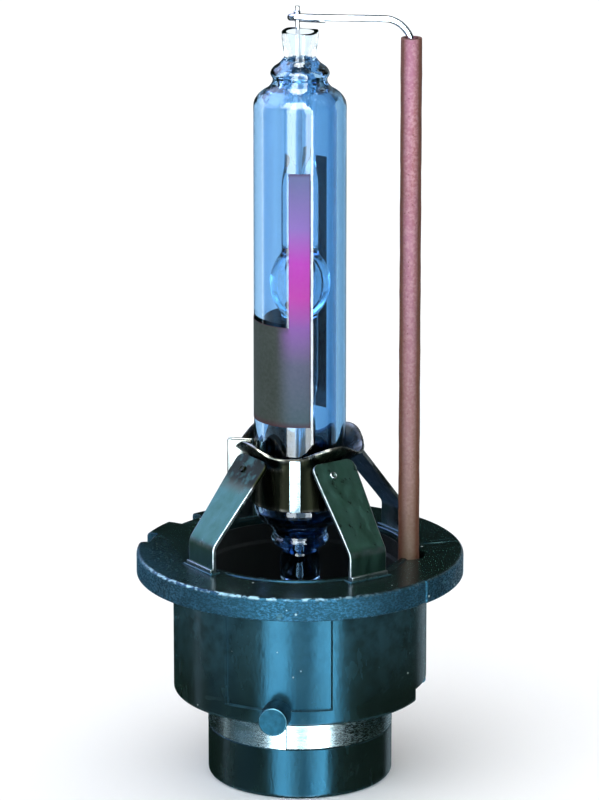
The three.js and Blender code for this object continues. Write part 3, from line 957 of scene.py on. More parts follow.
def jacket_glass(colours):
    """Clear fused quartz: an uneven blue cast, faint draw lines, and lumps near its upper end."""
    material, tree, shader = new_material(
        "jacket glass", Base_Color=colours.glass, Roughness=0.0, IOR=1.46, Transmission_Weight=1.0,
    )
    lines = effect(tree, grain_group, scale=420.0, blotch_scale=90.0, stretch=0.03)
    lumps = effect(tree, grain_group, scale=560.0, blotch_scale=260.0, stretch=0.8)
    axes = object_axes(tree)
    # Paler towards -X, darker towards +X: painted light and shade across the jacket.
    across = spread(tree, axes["X"], 0, 1, -4.4 * MM, 4.4 * MM)
    cast = colour_mix(tree, across, colours.glass_lit_side, colours.glass)
    edge = put(tree, "ShaderNodeLayerWeight").outputs["Facing"]
    thick = colour_mix(tree, across, (0.2, 0.46, 0.8), (0.09, 0.25, 0.46))
    deep = colour_mix(tree, spread(tree, edge, 0, 1, 0.28, 0.52), cast, thick)
    drawn = bump(tree, lumps["Height"], 0.2, 0.0)
    near_end = spread(tree, axes["Z"], 0, 0.8, 67.2 * MM, 68.6 * MM)
    tree.links.new(near_end, drawn.node.inputs["Strength"])
    # Darker towards the foot: painted shade.
    plug_in(
        tree, shader, Base_Color=foot_in_shade(tree, deep),
        Normal=bump(tree, lines["Height"], 0.02, 0.25, drawn),
    )
    return material


def burner_glass(colours):
    """The burner's quartz, lumpier where it was pressed and drawn."""
    material, tree, shader = new_material(
        "burner glass", Base_Color=colours.burner, Roughness=0.0, IOR=1.46, Transmission_Weight=1.0,
    )
    lumps = effect(tree, grain_group, scale=520.0, blotch_scale=160.0, stretch=0.18)
    # Darker towards the foot: painted shade.
    plug_in(
        tree, shader, Base_Color=foot_in_shade(tree, colours.burner),
        Normal=bump(tree, lumps["Height"], 0.09, 0.5),
    )
    return material


def shield_paint(colours):
    """Fired-on light shield: dull, near black at the back, violet on the lit part of the front stripe."""
    material, tree, shader = new_material("shield paint", Roughness=0.6, Specular_IOR_Level=0.12)
    axes = object_axes(tree)
    stripe = painted(tree, "stripe")
    rim = painted(tree, "border")
    height = spread(tree, axes["Z"], 0, 1, 36.6 * MM, 61.5 * MM)
    violet = put(tree, "ShaderNodeValToRGB", {"Fac": height})
    stops = [
        (0.0, (0.03, 0.06, 0.07)),
        (0.25, (0.08, 0.09, 0.14)),
        (0.4, (0.2, 0.09, 0.31)),
        (0.52, (0.4, 0.05, 0.33)),
        (0.66, (0.4, 0.05, 0.4)),
        (0.8, (0.22, 0.14, 0.42)),
        (1.0, (0.12, 0.14, 0.29)),
    ]
    bar = violet.color_ramp
    bar.elements[0].position, bar.elements[1].position = stops[0][0], stops[-1][0]
    bar.elements[0].color, bar.elements[1].color = (*stops[0][1], 1), (*stops[-1][1], 1)
    for position, shade in stops[1:-1]:
        bar.elements.new(position).color = (*shade, 1)
    grain = effect(tree, grain_group, scale=3200.0, blotch_scale=300.0)
    dark = colour_mix(tree, spread(tree, grain["Tone"], 0, 0.4), colours.shield, (0.04, 0.05, 0.045))
    # Near black on the back stripe: painted shade.
    rear = painted(tree, "rear")
    darkened = colour_mix(tree, times(tree, rear, 0.85), dark, (0.012, 0.008, 0.003))
    lit = colour_mix(tree, stripe, darkened, violet.outputs["Color"])
    speckled = colour_mix(tree, spread(tree, grain["Height"], 0, 0.05), lit, (0.3, 0.27, 0.35))
    edged = colour_mix(tree, times(tree, rim, 0.7), speckled, (0.05, 0.012, 0.022))
    plug_in(
        tree, shader, Base_Color=edged,
        Normal=bump(tree, grain["Height"], 0.006, 0.5),
        Roughness=spread(tree, grain["Tone"], 0.5, 0.7),
    )
    return material


def terracotta(colours):
    """Unglazed ceramic: granular, streaked along its length, darker at its edges and towards its foot."""
    material, tree, shader = new_material("terracotta", Roughness=0.7, IOR=1.5)
    grain = effect(tree, grain_group, scale=3600.0, blotch_scale=1500.0)
    streaks = effect(tree, grain_group, scale=1900.0, blotch_scale=700.0, stretch=0.08)
    streaky = spread(tree, streaks["Tone"], 0, 0.8, 0.4, 0.64)
    base = colour_mix(tree, streaky, colours.ceramic, (0.25, 0.085, 0.085))
    fine = colour_mix(tree, spread(tree, grain["Height"], 0, 0.5, 0.42, 0.66), base, (0.5, 0.3, 0.33))
    axes = object_axes(tree)
    foot = spread(tree, axes["Z"], 0.92, 0, 22 * MM, 62 * MM)
    darkened = colour_mix(tree, foot, fine, (0.07, 0.05, 0.018))
    specks = effect(tree, speck_group, scale=2600.0, size=0.2, share=0.16)
    dotted = colour_mix(tree, times(tree, specks["Mask"], 0.6), darkened, (0.1, 0.03, 0.025))
    # Darker where the surface turns away from view: painted shade.
    edge = put(tree, "ShaderNodeLayerWeight").outputs["Facing"]
    shaded = colour_mix(tree, spread(tree, edge, 0, 0.96, 0.04, 0.36), dotted, (0.055, 0.014, 0.003))
    plug_in(
        tree, shader, Base_Color=shaded,
        Roughness=spread(tree, grain["Tone"], 0.55, 0.8),
        Normal=bump(tree, grain["Height"], 0.025, 0.6),
    )
    return material


def studio_floor(colours):
    """Plain pale floor, very slightly uneven."""
    material, tree, shader = new_material("studio floor", Roughness=0.75, Specular_IOR_Level=0.2)
    grain = effect(tree, grain_group, scale=60.0, blotch_scale=6.0)
    tone = colour_mix(tree, spread(tree, grain["Tone"], 0, 0.06), colours.floor, (1, 1, 1))
    plug_in(tree, shader, Base_Color=tone)
    return material


# ---------------------------------------------------------------- operators: the base

class BulbPiece:
    """What the operators share."""

    bl_options = {"REGISTER", "UNDO"}

    def execute(self, context):
        self.build(sizes_of(context), context)
        return {"FINISHED"}


class BULB_OT_housing(BulbPiece, bpy.types.Operator):
    """Add the moulded housing with its front panel and foot notch, and the dark lining of the recess"""

    bl_idname = "bulb.housing"
    bl_label = "Housing"

    panel_angle = -90
    panel_half = 25
    panel_depth = 0.35
    panel_low = 10.3
    notch_half = 13.7
    notch_depth = 1.15
    notch_high = 10.1

    def build(self, s, context):
        seat, hole, cavity = 8.75, 0.75, 9.9
        cavity_floor, floor_under = 14.0, 11.6
        wall = s.body_radius
        step = 0.07
        levels = [self.notch_high - step, self.notch_high]
        levels += [self.panel_low + k * step for k in (-1.2, -0.5, 0.5, 1.2)]
        outline = rounded([
            (seat, s.body_bottom, 0.15),
            (wall, s.body_bottom, 0.4),
            *[(wall, z) for z in levels],
            (wall, s.flange_bottom + 0.03),
            (cavity, s.flange_bottom + 0.03, 0.15),
            (cavity, cavity_floor, 0.8),
            (hole, cavity_floor),
            (hole, floor_under),
            (seat, floor_under),
        ])

        def features(a, r, z):
            outside = r > wall - 0.6
            panel = window(a, self.panel_angle, self.panel_half) * ramp(z, levels[3], levels[4])
            notch = window(a, 0, self.notch_half) * (1 - ramp(z, levels[0], levels[1]))
            return r - outside * (self.panel_depth * panel + self.notch_depth * notch), z

        edges = [self.panel_angle - self.panel_half, self.panel_angle + self.panel_half]
        edges += [-self.notch_half, self.notch_half]
        mesh = turned("housing", outline, angle_lines(180, edges), features)
        add_piece("housing", mesh, moulded_plastic, stands_for=["base_body"])
        bore, hole = s.recess_radius, 0.8
        outer, inner = 9.92, 9.72
        under, top = 14.02, 14.25
        # A thin near-black cup inside the housing's recess: painted shade.
        cup = turned("recess_shade_lining", rounded([
            (hole, under),
            (outer, under),
            (outer, s.flange_bottom + 0.06),
            (bore - 0.02, s.flange_bottom + 0.12),
            (bore - 0.02, s.flange_top - 0.4),
            (bore - 0.17, s.flange_top - 0.4),
            (bore - 0.22, s.flange_bottom + 0.25, 0.1),
            (inner, s.flange_bottom, 0.1),
            (inner, top, 0.6),
            (hole, top),
        ]), angle_lines(120))
        add_piece("recess_shade_lining", cup, painted_shade_black)


class BULB_OT_flange(BulbPiece, bpy.types.Operator):
    """Add the reference flange with its keying notches, the sleeve's socket and the legs' bosses"""

    bl_idname = "bulb.flange"
    bl_label = "Reference flange"

    # Keying notches: bearing and half width in degrees, depth.
    keys = ((176.8, 5.4, 0.9), (149.5, 6.5, 1.45), (-31.8, 2.1, 0.16))
    socket_radius = 1.7
    socket_floor = 21.0

    def build(self, s, context):
        top, under, rim, bore = s.flange_top, s.flange_bottom, s.flange_radius, s.recess_radius
        lip = 0.14
        outline = rounded([
            (bore, under, 0.1),
            (rim, under, 0.15),
            (rim, top, 0.38),
            (bore + 0.85, top, 0.1),
            (bore + 0.7, top + lip, 0.08),
            (bore + 0.2, top + lip, 0.14),
            (bore, top - 0.3),
        ])

        def features(a, r, z):
            cut = sum(depth * window(a, angle, half, 0.7) for angle, half, depth in self.keys)
            return r - cut * (r > rim - 1.2), z

        edges = [angle + side * half for angle, half, depth in self.keys for side in (-1, 1)]
        plate = turned("flange", outline, angle_lines(200, edges, 0.7), features)
        wide, deep, above = self.socket_radius, self.socket_floor, 25
        socket = turned("socket", [(0, deep), (wide, deep), (wide, above), (0, above)], angle_lines(48))
        mesh = carved(plate, moved(socket, shift=(s.sleeve_offset, 0, 0)))
        p = points_mm(mesh)
        angle, radius = polar(p)
        # Where the painted highlight goes: the top edge and the recess lip, strongest at the front.
        on_edge = ramp(p[:, 2], top - 0.3, top - 0.12) * (radius > rim - 1.7)
        on_lip = 0.35 * (p[:, 2] > top + 0.06) * (radius < bore + 0.9)
        mark_points(mesh, "lit_crest", (on_edge + on_lip) * (0.05 + 0.95 * window(angle, -108, 38, 50)))
        on_top = ramp(p[:, 2], top - 0.22, top - 0.02)
        blasted = ramp(radius, rim - 1.7, rim - 0.25) * (1 - on_top)
        # Painted light: the paler mottled rim colour on the left of the top, where light falls.
        painted_light_patch = 0.55 * on_top * ramp(radius, bore + 1.0, rim - 1.0) * window(angle, -152, 24, 40)
        mark_points(mesh, "rim", blasted + painted_light_patch)
        add_piece(
            "flange", mesh, flange_plastic, stands_for=["reference_flange"]
        )
        boss = rounded_box("boss", (11.0, 12.2), (-2.45, 2.45), (top - 0.3, top + 0.16), 0.12)
        bosses = grown(
            boss, ring_tree, count=context.scene.bulb_sizes.leg_count,
            first_angle=FIRST_LEG, material=material_once(moulded_plastic),
        )
        add_piece("foot_bosses", bosses, moulded_plastic)


class BULB_OT_plug(BulbPiece, bpy.types.Operator):
    """Add the plug barrel and the tinned contact ring round it"""

    bl_idname = "bulb.plug"
    bl_label = "Plug and contact ring"

    seam = -88
    seam_half = 0.45
    seam_step = 0.12

    def build(self, s, context):
        hollow, hole, neck, floor = 7.3, 0.75, 8.65, 10
        barrel = turned("plug", rounded([
            (hollow, 0, 0.25),
            (s.plug_radius, 0, 0.5),
            (s.plug_radius, s.ring_bottom - 0.05, 0.1),
            (neck, s.ring_bottom - 0.05),
            (neck, s.plug_top),
            (hole, s.plug_top),
            (hole, floor),
            (hollow, floor, 0.6),
        ]), angle_lines(150))
        add_piece("plug", barrel, moulded_plastic, stands_for=["plug_barrel"])

        section = rounded([
            (s.plug_radius - 0.4, s.ring_bottom),
            (s.plug_radius + 0.02, s.ring_bottom, 0.1),
            (s.plug_radius + 0.02, s.ring_top, 0.1),
            (s.plug_radius - 0.4, s.ring_top),
        ])
        sections = []
        for angle in np.linspace(self.seam + self.seam_half, self.seam + 360 - self.seam_half, 150):
            around = (angle - self.seam) / 360 - 0.5
            sections.append(stood([(r, z + around * -self.seam_step) for r, z in section], angle))
        ring = swept_sections("contact_band", sections)
        add_piece(
            "contact_band", ring, tinned_ring, stands_for=["contact_ring"]
        )


class BULB_OT_contacts(BulbPiece, bpy.types.Operator):
    """Add the insulating post and the centre contact in the plug"""

    bl_idname = "bulb.contacts"
    bl_label = "Centre contact"

    def build(self, s, context):
        hole, post_radius, foot, seat = 0.74, 2.4, 2.0, 9.9
        post = turned("contact_post", rounded([
            (hole, foot),
            (1.3, foot, 0.15),
            (post_radius, 3.2, 0.4),
            (post_radius, seat),
            (hole, seat),
        ]), angle_lines(64))
        add_piece(
            "contact_post", post, insulator_plastic,
            stands_for=["centre_insulator"],
        )
        pin_radius, tip, root = 0.65, 1.2, 13.6
        pin = turned("contact_pin", rounded([
            (0, tip),
            (pin_radius, tip, 0.45),
            (pin_radius, root, 0.1),
            (0, root),
        ], loop=False), angle_lines(40))
        add_piece(
            "contact_pin", pin, tinned_ring, stands_for=["centre_contact"]
        )


class BULB_OT_lugs(BulbPiece, bpy.types.Operator):
    """Add the two bayonet pins"""

    bl_idname = "bulb.lugs"
    bl_label = "Bayonet pins"

    def build(self, s, context):
        height = (low("bayonet_pin_front").z + high("bayonet_pin_front").z) / 2 / MM
        root = s.body_radius - 1.4
        for name, angle in (("lug_front", -90), ("lug_rear", 90)):
            pin = turned(name, rounded([
                (0, root),
                (s.lug_radius, root),
                (s.lug_radius, s.lug_reach, 0.13),
                (s.lug_radius - 0.3, s.lug_reach - 0.03),
                (0, s.lug_reach - 0.03),
            ], loop=False), angle_lines(64))
            moved(pin, turn=angle, shift=(0, 0, height), tilt=90)
            finish_mesh(pin)
            node = name.replace("lug", "bayonet_pin")
            add_piece(name, pin, lug_steel, stands_for=[node])


# ---------------------------------------------------------------- operators: the glass

def drawn_end(s):
    """The jacket's drawn-in end: [radius, distance past the straight wall]."""
    r = s.jacket_radius
    return smooth_path([
        (r, -0.6), (r, 0), (r - 0.1, 0.52), (r - 0.42, 1.02), (3.72, 1.36), (3.15, 1.72),
        (2.72, 2.25), (2.64, 2.72), (2.86, 3.2), (2.62, 3.72), (2.05, 4.15), (1.66, 4.6),
    ], 4)


class BULB_OT_jacket(BulbPiece, bpy.types.Operator):
    """Add the outer glass jacket, drawn in and sealed at both ends"""

    bl_idname = "bulb.jacket"
    bl_label = "Outer jacket"

    def build(self, s, context):
        inside = s.jacket_radius - s.jacket_wall
        bore = 1.56
        end = drawn_end(s)
        inner = smooth_path([
            (inside, -1.2), (inside, 0), (inside - 0.2, 0.62), (inside - 0.85, 1.2),
            (bore + 0.35, 1.75), (bore, 2.5),
        ], 4)
        outline = [(r, s.jacket_low - past) for r, past in end[::-1]]
        outline += [(r, s.jacket_high + past) for r, past in end]
        outline += [(bore, s.jacket_high + 4.5)]
        outline += [(r, s.jacket_high + past) for r, past in inner[::-1]]
        outline += [(r, s.jacket_low - past) for r, past in inner]
        outline += [(bore, s.jacket_low - 4.5)]
        mesh = turned("jacket", outline, angle_lines(128), sharp=60)
        add_piece("jacket", mesh, jacket_glass, stands_for=["outer_jacket"])


class BULB_OT_burner(BulbPiece, bpy.types.Operator):
    """Add the burner: the discharge vessel between two flat seals and two open tube ends"""

    bl_idname = "bulb.burner"
    bl_label = "Burner"

    seal_width = 1.75
    seal_thickness = 1.0
    tube = 1.5
    crown = 1.75
    bell = 0.45

    def half_widths(self, s, z):
        """Half width, half thickness and squareness of the section at heights z."""
        away = np.abs(z - s.light_centre)
        vessel_half = 3.35
        across = np.clip(away / vessel_half, 0, 1)
        vessel = s.vessel_radius * np.sqrt(np.clip(1 - across ** 2, 0, 1))
        seal = ramp(away, 2.6, 3.6) * (1 - ramp(away, 9.5, 12.2))
        width = self.tube + (self.seal_width - self.tube) * seal
        thick = self.tube + (self.seal_thickness - self.tube) * seal
        crown = (self.crown - self.tube) * (1 - ramp(s.burner_high - z, 0.2, 2.7))
        crown = crown + self.bell * (1 - ramp(z - s.burner_low, 1.2, 4.6))
        soft = 0.55
        width = np.log(np.exp(vessel / soft) + np.exp((width + crown) / soft)) * soft
        thick = np.log(np.exp(vessel / soft) + np.exp((thick + crown) / soft)) * soft
        return width, thick, seal

    def build(self, s, context):
        middle = np.arange(-4.4, 4.41, 0.2) + s.light_centre
        heights = np.concatenate([
            np.arange(s.burner_low, middle[0] - 0.2, 0.35), middle,
            np.arange(middle[-1] + 0.35, s.burner_high, 0.35), [s.burner_high],
        ])
        turn = np.radians(angle_lines(72))
        width, thick, seal = self.half_widths(s, heights)
        square = 1 - 0.42 * seal
        rows = []
        for z, w, t, power in zip(heights, width, thick, square):
            x = np.sign(np.cos(turn)) * np.abs(np.cos(turn)) ** power * w
            y = np.sign(np.sin(turn)) * np.abs(np.sin(turn)) ** power * t
            wave = 0
            if s.burner_high - z < 1.6:
                wave = 0.09 * np.sin(3 * turn + 0.6) * (1 - (s.burner_high - z) / 1.6)
            rows.append(np.stack([x, y, np.full_like(turn, z) + wave], axis=1))
        bore = 0.78
        mouth = self.crown - 0.42
        lead_bore = 0.34
        channel = [(radius, s.burner_high + past) for radius, past in (
            (mouth, -0.02), (mouth - 0.12, -0.7), (bore, -1.9), (bore, -12.0), (lead_bore, -13.2),
        )]
        tip = s.light_centre + 2.75
        channel += [(lead_bore, tip + 0.5), (0.42, tip)]
        cavity = [
            (1.55 * math.cos(a), s.light_centre + 2.55 * math.sin(a)) for a in np.linspace(1.25, -1.25, 21)
        ]
        low_side = [(r, 2 * s.light_centre - z) for r, z in channel[-2:]][::-1]
        low_side += [(lead_bore, s.burner_low + 13.2), (bore, s.burner_low + 12), (bore, s.burner_low + 1.9)]
        low_side += [(mouth - 0.12, s.burner_low + 0.7), (mouth, s.burner_low)]
        for radius, z in channel + cavity + low_side:
            level = np.full_like(turn, z)
            rows.append(np.stack([radius * np.cos(turn), radius * np.sin(turn), level], axis=1))
        faces = grid_faces(len(rows), len(turn), True, True)
        mesh = make_mesh("burner", np.concatenate(rows), faces, sharp=60)
        add_piece("burner", mesh, burner_glass, stands_for=["arc_tube"])


class BULB_OT_inner_metal(BulbPiece, bpy.types.Operator):
    """Add the electrodes, the foils and the lead wires inside the glass"""

    bl_idname = "bulb.inner_metal"
    bl_label = "Electrodes and leads"

    foil_half = 0.72

    def build(self, s, context):
        for name, side in (("upper", 1), ("lower", -1)):
            tip = s.light_centre + side * 1.9
            root = s.light_centre + side * 4.45
            steps = np.linspace(tip, root, 6)
            rod = wire_mesh([(0, 0, z) for z in steps], 0.15, refractory_metal, 16)
            ball = turned("ball", rounded([
                (0, -0.2), (0.21, -0.2, 0.14), (0.21, 0.2, 0.14), (0, 0.2),
            ], loop=False), angle_lines(24))
            mesh = joined(f"electrode_{name}", rod, moved(ball, shift=(0, 0, tip)))
            add_piece(
                f"electrode_{name}", mesh, refractory_metal,
                stands_for=[f"{name}_electrode"],
            )
            self.foil(s, name, side)
        start = s.light_centre + 8.75
        path = smooth_path([
            (0, 0, start), (0, 0, s.jacket_high), (-0.2, 0, s.burner_high - 0.6),
            (-0.25, 0, s.wire_height - 0.4), (-0.25, 0, high("upper_lead").z / MM),
        ])
        lead = wire_mesh(path, 0.22, bright_wire, 16)
        add_piece("lead_upper", lead, bright_wire, stands_for=["upper_lead"])
        path = [(0, 0, z) for z in np.linspace(13.7, s.light_centre - 8.75, 20)]
        lead = wire_mesh(path, 0.22, bright_wire, 16)
        add_piece("lead_lower", lead, bright_wire, stands_for=["lower_lead"])

    def foil(self, s, name, side):
        """A thin foil with feathered edges, slightly crinkled."""
        sections = []
        for t in np.linspace(0, 1, 24):
            z = s.light_centre + side * (4.5 + 4.2 * t)
            half = self.foil_half * (ramp(t, -0.02, 0.06) * (1 - 0.25 * ramp(t, 0.92, 1.02)))
            bow = 0.015 * math.sin(t * 21)
            sections.append(np.array([
                (-half, bow, z), (0, bow - 0.035, z), (half, bow, z), (0, bow + 0.035, z),
            ]))
        mesh = swept_sections(f"foil_{name}", sections)
        add_piece(f"foil_{name}", mesh, refractory_metal, stands_for=[f"{name}_foil"])


class BULB_OT_shield(BulbPiece, bpy.types.Operator):
    """Add the light shield fired on the jacket: a band and two upright stripes"""

    bl_idname = "bulb.shield"
    bl_label = "Shield coating"

    front = -80
    front_half = 13.5
    back = 71.5
    back_half = 16
    thickness = 0.03

    def build(self, s, context):
        start, end = self.back - self.back_half, 360 + self.front + self.front_half
        stripe_edges = [self.back + self.back_half, 360 + self.front - self.front_half]
        angles = np.unique(np.round(np.concatenate([np.arange(start, end, 2.25), [end], stripe_edges]), 4))
        levels = np.unique(np.round(np.concatenate([
            np.arange(s.band_low, s.band_high, 0.62), [s.band_high],
            np.arange(s.band_high, s.stripe_high, 0.65), [s.stripe_high],
        ]), 4))
        edit = bmesh.new()
        made = {}

        def corner(a, z):
            if (a, z) not in made:
                turn = math.radians(a)
                r = s.jacket_radius + 0.004
                made[a, z] = edit.verts.new(Vector((r * math.cos(turn), r * math.sin(turn), z)) * MM)
            return made[a, z]

        for a0, a1 in zip(angles[:-1], angles[1:]):
            on_stripe = a1 <= stripe_edges[0] + 1e-6 or a0 >= stripe_edges[1] - 1e-6
            for z0, z1 in zip(levels[:-1], levels[1:]):
                if z1 <= s.band_high + 1e-6 or on_stripe:
                    edit.faces.new([corner(a0, z0), corner(a1, z0), corner(a1, z1), corner(a0, z1)])
        border = {v for e in edit.edges if len(e.link_faces) == 1 for v in e.verts}
        skin = bpy.data.meshes.new("shield")
        edit.verts.index_update()
        on_border = [v in border for v in edit.verts]
        edit.to_mesh(skin)
        edit.free()
        mark_points(skin, "border", on_border)
        carrier = bpy.data.objects.new("shield_skin", skin)
        context.scene.collection.objects.link(carrier)
        wall = carrier.modifiers.new("wall", "SOLIDIFY")
        wall.thickness = self.thickness * MM
        wall.offset = 1
        mesh = flattened(carrier)
        p = points_mm(mesh)
        angle = polar(p)[0]
        above = ramp(p[:, 2], s.band_high - 0.4, s.band_high + 0.2)
        crisp = window(angle, self.front, self.front_half, 1.5)
        faded = window(angle, self.front, self.front_half + 6, 26)
        mark_points(mesh, "stripe", above * crisp + (1 - above) * faded)
        # The back stripe, for its painted shade.
        mark_points(mesh, "rear", window(angle, self.back, self.back_half, 1.5))
        add_piece("shield", mesh, shield_paint, stands_for=["shield_coating"])


# ---------------------------------------------------------------- operators: clamp, legs and conductor

class BULB_OT_clamp(BulbPiece, bpy.types.Operator):
    """Add the clamp round the jacket with its flared collar, closing ears and front strap"""

    bl_idname = "bulb.clamp"
    bl_label = "Clamp"

    radius = 4.82
    thickness = 0.3
    waist = 32.3
    lowest = 33.4
    flare = 1.35
    opening = 2.6
    strap_angle = -85

    def collar(self, angle):
        """How far the collar is spread at an angle, and how tall: 1 over a leg, 0 between legs."""
        spread_here = 1 - window(angle, self.strap_angle, 20, 32)
        tall = sum(window(angle, leg, 21, 38) for leg in LEG_ANGLES)
        return float(spread_here), float(tall)

    def build(self, s, context):
        steps = 20
        sections = []
        for angle in np.linspace(-180 + self.opening, 180 - self.opening, 181):
            spread_here, tall = self.collar(angle)
            top = self.lowest + (s.clamp_top - self.lowest) * tall
            line = []
            for t in np.linspace(0, 1, steps):
                z = s.clamp_bottom + (top - s.clamp_bottom) * t
                out = self.flare * spread_here * max((z - self.waist) / (top - self.waist), 0) ** 1.4
                line.append((self.radius + out, z))
            sections.append(self.wall(line, angle))
        band = swept_sections("clamp", sections)
        ears = []
        for side in (-1, 1):
            near, far = sorted((0.17 * side, 0.5 * side))
            ears.append(rounded_box("ear", (-7.2, -4.78), (near, far), (29.2, 33.9), 0.1))
        mesh = joined("clamp", band, *ears)
        p = points_mm(mesh)
        angle = polar(p)[0]
        # Where the painted shade beside the strap goes.
        mark_points(mesh, "seam", window(angle, self.strap_angle + 6, 20, 9) * (p[:, 2] < self.lowest + 0.4))
        # The closing ears, for their painted highlight.
        mark_points(mesh, "bright", (p[:, 0] < -5.35) & (np.abs(p[:, 1]) < 0.7))
        add_piece("clamp", mesh, clamp_steel, stands_for=["clamp_band"])
        bar = rounded_box("strap", (5.0, 5.24), (-0.55, 0.55), (s.clamp_bottom - 0.02, self.lowest), 0.07)
        moved(bar, turn=self.strap_angle)
        add_piece("clamp_bar", bar, tinned_ring, stands_for=["clamp_strap"])

    def wall(self, line, angle):
        """The closed section of the sheet at one angle, from its middle line."""
        half = self.thickness / 2
        line = np.array(line)
        along = np.gradient(line, axis=0)
        along /= np.linalg.norm(along, axis=1)[:, None]
        out = np.stack([along[:, 1], -along[:, 0]], axis=1)
        rim = line[-1] + along[-1] * half * 0.7
        foot = line[0] - along[0] * half * 0.7
        loop = [*(line + out * half), rim + out[-1] * half * 0.5, rim - out[-1] * half * 0.5]
        loop += [*(line - out * half)[::-1], foot - out[0] * half * 0.5, foot + out[0] * half * 0.5]
        return stood(loop, angle)


class BULB_OT_legs(BulbPiece, bpy.types.Operator):
    """Add the support legs and the weld spots at their tips"""

    bl_idname = "bulb.legs"
    bl_label = "Support legs"

    foot = 11.5
    knee = 25.5
    tip = (5.35, 33.1)
    corner = 0.8
    spread_at_tip = 0.65

    def strip(self, s):
        """One leg, standing on +X."""
        path = rounded([
            (self.foot, s.flange_top - 0.9), (self.foot, self.knee, 1.0), self.tip,
        ], loop=False, guard=0.3)
        path = np.array(path)
        fine = [path[0]]
        for a, b in zip(path[:-1], path[1:]):
            count = max(1, int(np.linalg.norm(b - a) / 0.3))
            fine += [a + (b - a) * (k + 1) / count for k in range(count)]
        path = np.array(fine)
        travel = np.concatenate([[0], np.cumsum(np.linalg.norm(np.diff(path, axis=0), axis=1))])
        left = travel[-1] - travel
        stations = [i for i in range(len(path)) if left[i] > self.corner]
        ends = [self.corner * (1 - math.sin(k)) for k in np.linspace(0, math.pi / 2, 9)]
        along = (path[-1] - path[-2]) / np.linalg.norm(path[-1] - path[-2])
        line = [path[i] for i in stations] + [path[-1] - along * rest for rest in ends]
        rest = [left[i] for i in stations] + ends
        line = np.array(line)
        tangent = np.gradient(line, axis=0)
        tangent /= np.linalg.norm(tangent, axis=1)[:, None]
        half_t, bevel = s.leg_thickness / 2, 0.07
        sections = []
        for (r, z), (dr, dz), remaining in zip(line, tangent, rest):
            shrink = self.corner - math.sqrt(max(self.corner ** 2 - max(self.corner - remaining, 0) ** 2, 0))
            widening = self.spread_at_tip * float(ramp(z, self.knee, self.tip[1])) / 2
            half_w = s.leg_width / 2 - shrink + widening
            flat = half_w - bevel
            guard = flat - min(0.06, flat / 2)
            side = [
                (half_t, -guard), (half_t, guard), (half_t, flat), (half_t - bevel, half_w),
                (bevel - half_t, half_w), (-half_t, flat), (-half_t, guard),
            ]
            side += [(-x, -y) for x, y in side[2:]]
            loop = [(r + x * dz, y, z - x * dr) for x, y in side]
            sections.append(np.array(loop))
        return swept_sections("leg", sections, sharp=40)

    def build(self, s, context):
        count = context.scene.bulb_sizes.leg_count
        lip = rounded_box(
            "lip", (self.foot - 0.1, self.foot + 0.5), (-s.leg_width / 2, s.leg_width / 2),
            (s.flange_top + 0.1, s.flange_top + 0.5), 0.1,
        )
        slope = math.degrees(math.atan2(self.foot - self.tip[0], self.tip[1] - self.knee))
        spot = turned("spot", [
            (0, -0.12), (0.36, -0.12), (0.36, 0.0), (0.3, 0.035), (0.2, 0.01), (0.1, -0.02), (0, -0.02),
        ], angle_lines(24))
        moved(spot, shift=(6.53, -0.5, 32.2), tilt=90 - slope)
        leg = joined("leg", self.strip(s), lip, spot)
        steel = material_once(leg_steel)
        mesh = grown(leg, ring_tree, count=count, first_angle=FIRST_LEG, material=steel)
        p = points_mm(mesh)
        angle = polar(p)[0]
        near_tip = ramp(p[:, 2], 29.9, 31.4)
        mark_points(mesh, "scorch", near_tip * window(angle, -135, 40))
        nodes = [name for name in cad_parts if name.startswith("support_leg")]
        add_piece("legs", mesh, leg_steel, stands_for=nodes)


class BULB_OT_conductor(BulbPiece, bpy.types.Operator):
    """Add the return conductor: the folded cross bar, the wire in the sleeve and the strap in the housing"""

    bl_idname = "bulb.conductor"
    bl_label = "Return conductor"

    lead_x = -0.25
    loop = 0.65
    fold_drop = 0.45
    fold_end = 2.3

    def build(self, s, context):
        bar, drop = s.wire_height, self.fold_drop
        around = []
        for degree, share in ((90, 0.05), (125, 0.2), (160, 0.4), (195, 0.6), (230, 0.8), (270, 1)):
            turn = math.radians(degree)
            around.append((
                self.lead_x + self.loop * math.cos(turn), self.loop * math.sin(turn),
                bar - drop * (1 - share),
            ))
        path = smooth_path([
            (self.fold_end, self.loop, bar - drop), (1.0, self.loop, bar - drop), *around,
            (1.4, -self.loop, bar), (3.8, -0.45, bar), (6.6, -0.18, bar), (8.2, -0.02, bar),
            (8.95, 0, bar - 0.1), (9.7, 0, bar - 0.45), (10.3, 0, bar - 1.02),
            (10.66, 0, s.sleeve_high + 0.1), (10.8, 0, s.sleeve_high - 0.8),
            (s.sleeve_offset, 0, s.sleeve_high - 2.4),
        ], 7)
        mesh = wire_mesh(path, s.wire_radius, bright_wire, 24)
        bead = turned("bead", rounded([
            (0, -0.28), (0.3, -0.28, 0.2), (0.34, 0.2, 0.18), (0, 0.26),
        ], loop=False), angle_lines(24))
        moved(bead, shift=(self.lead_x, -0.18, bar + 0.3))
        mesh = joined("cross_bar", mesh, bead)
        add_piece("cross_bar", mesh, bright_wire, stands_for=["return_bar"])
        upright = [(s.sleeve_offset, 0, z) for z in np.linspace(9.15, s.sleeve_high - 2.5, 30)]
        wire = wire_mesh(upright, s.wire_radius, bright_wire, 16)
        add_piece("return_wire", wire, bright_wire, stands_for=["return_rod"])
        strap = rounded_box("return_tab", (8.72, 11.1), (-0.8, 0.8), (8.8, 9.05), 0.06)
        add_piece("return_tab", strap, bright_wire, stands_for=["return_strap"])


